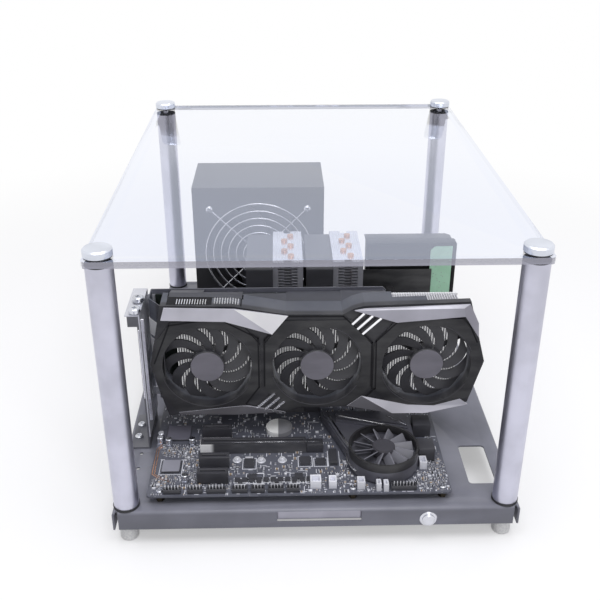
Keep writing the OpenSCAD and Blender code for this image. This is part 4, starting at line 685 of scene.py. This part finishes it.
# %% Ledge and end wall of the shroud
shroud_mesh = nodes["card_shroud"].data
shroud_tree = BVHTree.FromPolygons([v.co for v in shroud_mesh.vertices],
                                   [p.vertices for p in shroud_mesh.polygons])


def shroud_top(x, y=-114.0):
    """Height of the shroud's upper skin over a point, all in mm."""
    hit = shroud_tree.ray_cast(Vector((x, y, 400.0))*MM, Vector((0, 0, -1)))[0]
    return hit.z/MM


def strip(forms, xa, xb, stations, thick):
    """Sheet between two x that runs over (y, z at xa, z at xb) stations."""
    for (y0, za0, zb0), (y1, za1, zb1) in zip(stations, stations[1:]):
        top = [(xa, y0, za0), (xb, y0, zb0), (xb, y1, zb1), (xa, y1, za1)]
        forms.faces(top + [(x, y, z - thick) for x, y, z in top],
                    [(0, 1, 2, 3), (7, 6, 5, 4), (0, 4, 5, 1), (1, 5, 6, 2),
                     (2, 6, 7, 3), (3, 7, 4, 0)])


shroud_back_y = shroud_high.y/MM
vent_back_y = -102.6
vent_front_y = -116.6
lift = 0.14
ledge_t = 0.5
ledge = Forms()
# Start, end, back edge and its height
for xa, xb, back_y, back_z in ((-120.0, -92.0, -80.6, 163.2), (-92.0, -59.0, -84.0, 162.4),
                               (-59.0, -22.0, -84.0, 160.8), (-22.0, 24.0, -80.8, 160.6),
                               (24.0, 62.0, -80.8, 161.4)):
    za, zb = shroud_top(xa) + lift, shroud_top(xb) + lift
    over = xb < -50
    stations = [(vent_back_y, za, zb)] if over else []
    edge_y = shroud_back_y + (0.1 if over else -0.4)
    drop = 0.0 if over else 0.4
    stations += [(edge_y, za - drop, zb - drop), (back_y, back_z, back_z)]
    strip(ledge, xa, xb, stations, ledge_t)
# The ledge wears a darker copy of the shroud's plastic: painted shade.
ledge.piece("shroud_ledge", "shroud_plastic", "ledge_painted_shade", flat=True)

# The vents are black strips on the shroud's top: painted shade in its openings, with the bright fin edges over
# them.
vents, combs = Forms(), Forms()
for xa, xb in ((-120.5, -86.5), (-86.5, -59.0)):
    za, zb = shroud_top(xa) + lift, shroud_top(xb) + lift
    strip(vents, xa, xb, [(vent_front_y, za, zb), (vent_back_y, za, zb)], 0.3)
for xa, xb, y0, y1 in ((-112.3, -87.2, -116.0, -106.9), (-81.3, -60.0, -114.8, -104.0)):
    for i in range(int((xb - xa)/2.15) + 1):
        x = xa + 2.15*i
        combs.box(x, (y0 + y1)/2, shroud_top(x) + lift, 0.7, y1 - y0, 0.15)
vents.piece("shroud_vents", "shroud_plastic", "painted_shade_black", flat=True)
combs.piece("vent_fins", "fin_aluminium", "polished_trim_and_highlight")

end_wall = Forms()
end_wall.prism([(-125.6, -117.6), (-136.8, -103.0), (-136.8, -86.0), (-135.8, -86.0),
                (-135.8, -102.6), (-124.8, -117.0)], 92.0, 166.8)
end_wall.piece("shroud_end_wall", "shroud_plastic", flat=True)
# The end plates are light trim that lies in shade. The trim's painted highlight finish makes them brighter than
# their own colour.
end_plates = Forms()
for low, high, inset in ((133.5, 148.5, 0.0), (112.0, 130.5, 1.4)):
    end_plates.prism([(-126.2 - inset, -117.4 + inset), (-137.4, -103.1),
                      (-137.4, -94.0), (-136.8, -94.0), (-136.8, -103.0),
                      (-125.6 - inset, -117.6 + inset)], low, high)
end_plates.piece("end_wall_plates", "shroud_plastic", "trim_painted_highlight", flat=True)

# %% [markdown]
# Each fan has its own frame on the shroud, and between the frames run narrow joints that lie in shade. The solid
# has them as shallow steps that hold too little shade; a black strip in each is painted shade that makes it as
# dark as it looks.

# %% Painted shade in the joints between the fan frames
joint_w = 1.3
joint_y = -120.62
joint_shade_strips = Forms()
joint_runs = [
    [(-133.4, 114.0), (-119.0, 150.1), (-96.0, 153.7)],
    [(-73.5, 153.2), (-46.0, 137.2), (-46.1, 89.4), (-57.8, 72.6)],
    [(-33.0, 143.8), (-40.8, 135.5), (-41.4, 90.5)],
    [(-20.7, 157.2), (24.5, 156.8), (49.1, 132.1), (50.3, 86.7)],
    [(69.0, 150.6), (52.4, 133.1), (53.3, 86.7), (45.0, 77.8)],
    [(72.0, 151.4), (125.7, 156.1), (137.0, 131.0)]]
for run in joint_runs:
    for start, end in zip(run, run[1:]):
        start, end = Vector(start), Vector(end)
        across = (end - start).orthogonal().normalized()*joint_w/2
        past = (end - start).normalized()*joint_w/3
        joint_shade_strips.prism([start - past - across, end + past - across, end + past + across,
                      start - past + across], joint_y, joint_y + 0.3, "xzy")
joint_shade_strips.piece("frame_joint_shade", "shroud_plastic", "painted_shade_black")

rings = Forms()
for side in ("left", "middle", "right"):
    low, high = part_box("card_rotor_" + side)
    x, z = (low.x + high.x)/2/MM, (low.z + high.z)/2/MM
    for start_deg, end_deg in ((195, 330), (20, 70)):
        rings.wire([(x + 38.9*math.cos(math.radians(a)), -120.5,
                     z + 38.9*math.sin(math.radians(a)))
                    for a in range(start_deg, end_deg + 1, 5)], 0.35)
rings.piece("opening_rims", "shroud_plastic", "chip_hub_plastic")

# %% [markdown]
# The card's bracket is a thin steel strip, and its front edge is folded over. Seen from the front, the fold and
# the stand's own edge are two bright upright lines. The fold is bright steel; the stand's edge is dark paint, so
# its strip is a painted highlight.

# %% Folds of the bracket
folds = Forms()
folds.box(-138.9, -127.4, 62.0, 2.6, 0.7, 98.0)
# A bright strip on the stand's painted edge: a painted highlight.
folds.box(-142.6, -127.5, 84.0, 1.1, 0.8, 66.0)
folds.piece("bracket_folds", "bracket_steel", "polished_trim_and_highlight", edge_mm=0.15)

# %% [markdown]
# A fan's hub is covered by a flat disc with a finer skin than the blades. The discs ride
# on the fans' own bodies, so they turn with them.

# %% Hub discs
for side in ("left", "middle", "right"):
    low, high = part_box("card_rotor_" + side)
    disc = Forms()
    disc.can((low.x + high.x)/2/MM, (low.z + high.z)/2/MM, low.y/MM - 0.3, 14.0, 0.35, 64,
             "xzy")
    disc.piece("hub_disc_" + side, "fan_plastic", "hub_plastic", "card_fan_" + side, 0.12)

# %% [markdown]
# The little fan on the chipset has straight blades that lean. From the front the ones on
# the right show their faces and the ones on the left only their edges, which tells which
# way they lean. The wheel is made again here that way round.

# %% Chipset fan wheel
wheel_low, wheel_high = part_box("chipset_rotor")
wheel_x = (wheel_low.x + wheel_high.x)/2/MM
wheel_y = (wheel_low.y + wheel_high.y)/2/MM
wheel_z0, wheel_z1 = wheel_low.z/MM, wheel_high.z/MM
wheel_r = (wheel_high.x - wheel_low.x)/2/MM - 0.05
wheel_hub_r = 9.5
wheel_blades = 12
wheel_lean_deg = 38
blade_t = 0.8
wheel, hub = Forms(), Forms()
hub.can(wheel_x, wheel_y, wheel_z0, wheel_hub_r, wheel_z1 - wheel_z0 - 0.6, 64)
hub.can(wheel_x, wheel_y, wheel_z1 - 0.6, wheel_hub_r - 0.7, 0.6, 64)
hub.piece("chipset_hub", "fan_plastic", "chip_hub_plastic", "chipset_fan", 0.15)
lean = math.tan(math.radians(wheel_lean_deg))
half_t = blade_t/2/math.cos(math.radians(wheel_lean_deg))
middle = (wheel_z0 + wheel_z1)/2
half_h = (wheel_z1 - wheel_z0)*0.36
for i in range(wheel_blades):
    turn = 2*math.pi*(i + 0.3)/wheel_blades
    out = Vector((math.cos(turn), math.sin(turn), 0))
    side = Vector((-math.sin(turn), math.cos(turn), 0))
    centre = Vector((wheel_x, wheel_y, middle))
    corners = []
    for reach in (wheel_hub_r*0.85, wheel_r*0.97):
        for h, s in ((-1, -1), (-1, 1), (1, 1), (1, -1)):
            corners.append(centre + out*reach + side*(h*half_h*lean + s*half_t)
                           + Vector((0, 0, h*half_h)))
    wheel.faces(corners, [(0, 1, 2, 3), (7, 6, 5, 4), (0, 4, 5, 1), (1, 5, 6, 2),
                          (2, 6, 7, 3), (3, 7, 4, 0)])
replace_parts(wheel.piece("chipset_wheel", "fan_plastic", "chip_fan_plastic", "chipset_fan"),
            "chipset_rotor")

# %% Painted highlights along the ribs and the rim of the chipset plate
rib_highlights = Forms()
bar_z = 51.35
rib_highlights.line([(14.6, -109.5), (30.5, -158.5)], bar_z, 1.9, 0.35)
rib_highlights.line([(23.8, -109.6), (62.0, -123.2)], bar_z, 1.0, 0.35)
rib_highlights.line([(66.5, -111.5), (80.8, -124.0)], bar_z, 1.0, 0.35)
rib_highlights.piece("chipset_rib_highlights", "dark_aluminium", "polished_trim_and_highlight", edge_mm=0.1)
# The bright wire round the fan's wall is a painted highlight on the plate's rim.
foot = Forms()
foot.wire([(57.0 + 30.2*math.cos(math.radians(a)), -163.0 + 30.2*math.sin(math.radians(a)),
            46.5) for a in range(158, 222, 4)], 0.8)
foot.piece("chipset_rim_highlight", "dark_aluminium", "polished_trim_and_highlight")

# %% Painted highlights on the edges of the long slot
slot_edge_highlights = Forms()
slot_edge_highlights.box(-83.8, -139.6, 51.1, 26.6, 0.9, 0.2)
slot_edge_highlights.box(-34.0, -146.6, 51.1, 76.0, 0.5, 0.2)
slot_edge_highlights.piece("slot_edge_highlights", "shield_steel", "polished_trim_and_highlight")
print("extra pieces done")

# %% [markdown]
# Between its sockets a mainboard is covered with parts the size of a grain of rice. They
# sit in loose rows, straight to the board's edges, and keep clear of everything tall.
# Chance picks the places, from a fixed seed so that each run is the same, and a ray
# cast upwards from each place tells whether something already stands there.

# %% Free places on the board
board_low, board_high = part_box("mainboard")
board_top = board_high.z/MM
board_x, board_y = board_low.x/MM, board_low.y/MM
board_w = (board_high.x - board_low.x)/MM
board_d = (board_high.y - board_low.y)/MM
ray_reach = 9.0
on_board = ["board_screws", "rear_ports", "power_heat_sinks", "processor_socket",
            "memory_sockets", "slot_bodies", "slot_shields", "white_connectors",
            "black_connectors", "board_chips", "capacitors", "coin_cell",
            "chipset_heat_sink", "card_board", "heat_pipes"]
corners, triangles = [], []
for name in on_board:
    first = len(corners)
    corners += [vertex.co/MM for vertex in nodes[name].data.vertices]
    triangles += [[first + k for k in polygon.vertices]
                  for polygon in nodes[name].data.polygons]
standing = BVHTree.FromPolygons(corners, triangles)
taken = []


def is_free(x, y, w, d, gap=0.5):
    reach_x, reach_y = w/2 + gap, d/2 + gap
    inside = (board_x + reach_x < x < board_x + board_w - reach_x
              and board_y + reach_y < y < board_y + board_d - reach_y)
    if not inside:
        return False
    for other in taken:
        if abs(x - other[0]) < reach_x + other[2] and abs(y - other[1]) < reach_y + other[3]:
            return False
    for sx in (-1, 0, 1):
        for sy in (-1, 0, 1):
            start = Vector((x + sx*reach_x, y + sy*reach_y, board_top + 0.05))
            if standing.ray_cast(start, Vector((0, 0, 1)), ray_reach)[0]:
                return False
    return True


def take(x, y, w, d):
    taken.append((x, y, w/2, d/2))


print("things on the board", len(triangles), "triangles")

# %% [markdown]
# The studs that hold a flat module stand in a row: a bright dome in a plated ring. The
# sound chip sits in a pale frame, shut off from the rest of the board by copper lines.
# These are placed one by one because they are what the eye finds first.

# %% Studs, sound chip and copper lines
studs = Forms()
for x, y in ((-65, -156.5), (-44.8, -157.5), (-27, -157.5)):
    studs.can(x, y, board_top, 3.9, 0.3, 24)
    studs.can(x, y, board_top + 0.25, 2.6, 2.0, 20)
    studs.can(x, y, board_top + 2.2, 1.8, 0.8, 20)
    take(x, y, 9, 9)
studs.piece("module_studs", "screw_steel", "solder", edge_mm=0.2)

pad = Forms()
for i in range(5):
    pad.box(-55, -163.5 + i*2.6, board_top, 6.6, 1.9, 0.5)
take(-55, -158, 8, 14)
pad.piece("module_pad", "can_aluminium", "solder", edge_mm=0.1)

marks = Forms()
mark_h = 0.06
mark_w = 0.55


def pale_frame(x, y, w, d, gap=0.8, line=mark_w):
    w, d = w + 2*gap, d + 2*gap
    for sy in (-1, 1):
        marks.box(x, y + sy*d/2, board_top, w + line, line, mark_h)
    for sx in (-1, 1):
        marks.box(x + sx*w/2, y, board_top, line, d - line, mark_h)


copper = Forms()
for shift in (0.0, 1.9):
    run = [(-128.0 - shift, -134.5 + shift), (-132.4 - shift, -139.6),
           (-132.4 - shift, -173.4), (-126.9 - shift*0.5, -177.6 - shift),
           (-119.5, -181.6 - shift)]
    copper.line(run, board_top, 0.8, mark_h)
copper.piece("copper_lines", "copper")
take(-132.6, -156, 5, 44)

# %% [markdown]
# A flat chip has a dark body, bright legs along its sides and a thin frame printed round
# it. The largest ones also have a paler lid. The places are the solids' own, read back
# from the mesh: each island of it that stands on the board is one chip.

# %% Legs, lids and frames of the chips
def islands(name):
    """Boxes, in mm, of the separate forms in a solid's mesh."""
    work = bmesh.new()
    work.from_mesh(nodes[name].data)
    bmesh.ops.remove_doubles(work, verts=work.verts, dist=0.001*MM)
    left = set(work.verts)
    found = []
    while left:
        group, edge = [], [left.pop()]
        while edge:
            vertex = edge.pop()
            group.append(vertex.co/MM)
            for other in (link.other_vert(vertex) for link in vertex.link_edges):
                if other in left:
                    left.discard(other)
                    edge.append(other)
        found.append(tuple(f(p[k] for p in group) for f in (min, max) for k in range(3)))
    work.free()
    return sorted(found)


legs, lids, covers = Forms(), Forms(), Forms()
leg_pitch = 1.1
big_chip = 12.0
for x0, y0, _, x1, y1, top in islands("board_chips"):
    x, y, w, d = (x0 + x1)/2, (y0 + y1)/2, x1 - x0, y1 - y0
    is_cover = w > 18
    if not is_cover:
        pale_frame(x, y, w, d, 1.7 if w > 6 else 0.5)
        for i in range(int(w/leg_pitch)):
            for sy in (-1, 1):
                legs.box(x - w/2 + (i + 0.5)*leg_pitch, y + sy*(d/2 + 0.5), board_top,
                         0.5, 1.0, 0.35)
        for i in range(int(d/leg_pitch)):
            for sx in (-1, 1):
                legs.box(x + sx*(w/2 + 0.5), y - d/2 + (i + 0.5)*leg_pitch, board_top,
                         1.0, 0.5, 0.35)
    if w > big_chip:
        (covers if is_cover else lids).box(x, y, top, w - 0.6, d - 0.6, 0.25)
    take(x, y, w + 4, d + 4)
legs.piece("chip_legs", "screw_steel")
lids.piece("chip_lids", "can_aluminium", "chip_lid", edge_mm=0.2)
covers.piece("port_cover", "dark_aluminium", "cover_paint", edge_mm=0.2)

# %% [markdown]
# Plug sockets hold rows of square pins on a 2.54 mm grid, the oldest size in electronics.
# Behind each header along the front edge a power switch sits between two pairs of pads.

# %% Pins and pads
pins = Forms()
pin_w = 0.64
pin_pitch = 2.54
for name, pin_top in (("black_connectors", 7.0), ("white_connectors", 6.0)):
    for x0, y0, z0, x1, y1, z1 in islands(name):
        if z0 > board_top + 0.1 or y1 - y0 > 12 or y0 > 0 or z1 - board_top > 10:
            continue
        count = max(1, int((x1 - x0 - 2.4)/pin_pitch + 0.5))
        for i in range(count):
            x = (x0 + x1)/2 + (i - (count - 1)/2)*pin_pitch
            pins.box(x, (y0 + y1)/2, board_top + 0.2, pin_w, pin_w, pin_top)
pins.piece("header_pins", "screw_steel", "solder")
print("pins", "on a grid of", pin_pitch, "mm")

pads, switches = Forms(), Forms()
for x in (-61.2, -46.0, -31.7, -17.5, -3.4):
    for sx in (-1, 1):
        for step in (0, 1):
            pads.box(x + sx*(4.6 - 2.1*step), -184.6, board_top, 1.4, 4.6, 0.3)
    pads.box(x, -188.4, board_top, 9.4, 1.1, 0.3)
    switches.box(x, -185.2, board_top, 3.4, 4.4, 1.1)
    pads.box(x + 7.3, -187.2, board_top, 1.1, 2.6, 0.3)
    take(x + 1, -186, 14.5, 8)
pads.piece("power_pads", "screw_steel", "solder")
switches.piece("power_switches", "black_plastic", edge_mm=0.15)

upright = Forms()
upright.box(15.8, -156.2, board_top, 6.4, 19.0, 3.6)
take(15.8, -156.2, 9, 21)
upright.piece("flat_socket", "black_plastic", edge_mm=0.25)
marks.line([(11.4, -166.5), (11.4, -146.0)], board_top, 0.7, mark_h)
marks.line([(20.9, -166.5), (20.9, -146.0)], board_top, 0.5, mark_h)

# %% [markdown]
# Now the rice grains: a dark, tan or pale body between two bright soldered ends. Most of
# them stand along the front edge and round the chipset, and fewer in the open middle.

# %% Small parts
dice = random.Random(7)
bodies = {"black_plastic": Forms(), "brass": Forms(), "dark_aluminium": Forms(),
          "white_plastic": Forms()}
ends = Forms()
small_sizes = [(1.0, 0.55, 0.4), (1.6, 0.85, 0.55), (2.1, 1.25, 0.7), (3.0, 1.7, 1.2)]
wanted = 5200
placed = 0
busy = [(-133, -193, 42, 22), (-100, -196, 40, 12), (20, -198, 88, 34),
        (78, -200, 30, 40), (-112, -176, 14, 40), (-134, -150, 30, 16)]
for _ in range(wanted):
    length, width, height = dice.choice(small_sizes)
    slot = dice.choice(["black_plastic", "brass", "dark_aluminium", "white_plastic"])
    if dice.random() < 0.55:
        left, front, wide, deep = dice.choice(busy)
        x, y = left + dice.random()*wide, front + dice.random()*deep
    else:
        x = board_x + dice.uniform(2, board_w - 2)
        y = board_y + 1.5 + dice.random()**1.5*(board_d - 4)
    upright_part = dice.random() < 0.5
    w, d = (width, length) if upright_part else (length, width)
    if not is_free(x, y, w, d, 0.25):
        continue
    take(x, y, w, d)
    placed += 1
    bodies[slot].box(x, y, board_top, w*(1 if upright_part else 0.6),
                     d*(0.6 if upright_part else 1), height)
    for side in (-1, 1):
        end_x = x + (0 if upright_part else side*length*0.39)
        end_y = y + (side*length*0.39 if upright_part else 0)
        ends.box(end_x, end_y, board_top, w*(1.04 if upright_part else 0.24),
                 d*(0.24 if upright_part else 1.04), height*1.05)
for slot, forms in bodies.items():
    forms.piece("small_parts_" + slot, slot, "tan_ceramic" if slot == "brass" else slot)
ends.piece("soldered_ends", "screw_steel", "solder")
print("small parts placed", placed, "of", wanted)

# %% Pale marks between the parts
mark_dice = random.Random(11)
made_marks = 0
for _ in range(1500):
    x = board_x + mark_dice.uniform(2, board_w - 2)
    y = board_y + 1.5 + mark_dice.random()**1.8*(board_d - 4)
    length = mark_dice.uniform(1.5, 5.5)
    w, d = (length, mark_w) if mark_dice.random() < 0.55 else (mark_w, length)
    if is_free(x, y, w, d, 0.12):
        marks.box(x, y, board_top, w, d, mark_h)
        take(x, y, w, d)
        made_marks += 1
marks.piece("board_marks", "white_plastic")
print("pale marks", made_marks)

# %% [markdown]
# The room is plain: a white floor, an even glow from all sides and one large soft lamp
# overhead, as in a photographer's light tent. The floor and the room look white to the
# camera and to anything shiny or clear. To light that bounces, the floor is a mid grey,
# so that upright faces stay darker than those that face up.

# %% Stage and light
floor_reach = 9.0
room_level = 0.42
floor_glow = 0.37
shadow_reach = 0.36

floor_mesh = bpy.data.meshes.new("floor")
floor_mesh.from_pydata([(sx*floor_reach, sy*floor_reach, 0) for sx, sy in
                        ((-1, -1), (1, -1), (1, 1), (-1, 1))], [], [(0, 1, 2, 3)])
floor = bpy.data.objects.new("floor", floor_mesh)
bpy.context.scene.collection.objects.link(floor)


def seen_directly(tree):
    """One where a ray comes from the camera, from a gloss or through glass."""
    rays = [tree.node("ShaderNodeLightPath", {}, {}, name)
            for name in ("Is Camera Ray", "Is Glossy Ray", "Is Transmission Ray")]
    return (rays[0] + rays[1] + rays[2]) > 0.5


paper = Finish("floor_paper", roughness=0.95)
seen = seen_directly(paper)
paper.set("Base Color", paper.blend((0.26, 0.26, 0.27, 1), (0.94, 0.94, 0.97, 1), seen))
glow = paper.node("ShaderNodeEmission", {}, {"Color": (1, 1, 1, 1), "Strength": 1.0})
reach = paper.node("ShaderNodeVectorMath", {"operation": "LENGTH"}, {0: paper.place()},
                   "Value")
far = paper.ease(reach, shadow_reach, shadow_reach*2.5)
mixed = paper.node("ShaderNodeMixShader", {},
                   {0: seen*(floor_glow + (1 - floor_glow)*far), 1: Wire(paper, paper.shader.outputs[0]), 2: glow})
paper.plug(paper.output.inputs["Surface"], mixed)
floor_mesh.materials.append(paper.material)

room = bpy.data.worlds.new("room")
bpy.context.scene.world = room
room.use_nodes = True
sky = Finish.of_world(room)
back = room.node_tree.nodes["Background"]
back.inputs["Color"].default_value = (1, 1, 1, 1)
sky.plug(back.inputs["Strength"], room_level + (1 - room_level)*seen_directly(sky))


def lamp(name, place, aim, size, watts):
    data = bpy.data.lights.new(name, "AREA")
    data.size = size
    data.energy = watts
    made = bpy.data.objects.new(name, data)
    made.location = place
    made.rotation_euler = (Vector(aim) - Vector(place)).to_track_quat("-Z", "Y").to_euler()
    bpy.context.scene.collection.objects.link(made)
    return made


lamp("overhead_lamp", (0.05, -0.3, 1.75), (0, -0.02, 0.1), 1.5, 24)
lamp("front_lamp", (0.3, -1.35, 0.95), (0, 0, 0.08), 0.6, 4)
bpy.context.scene.view_settings.view_transform = "Standard"
print("room level", room_level)
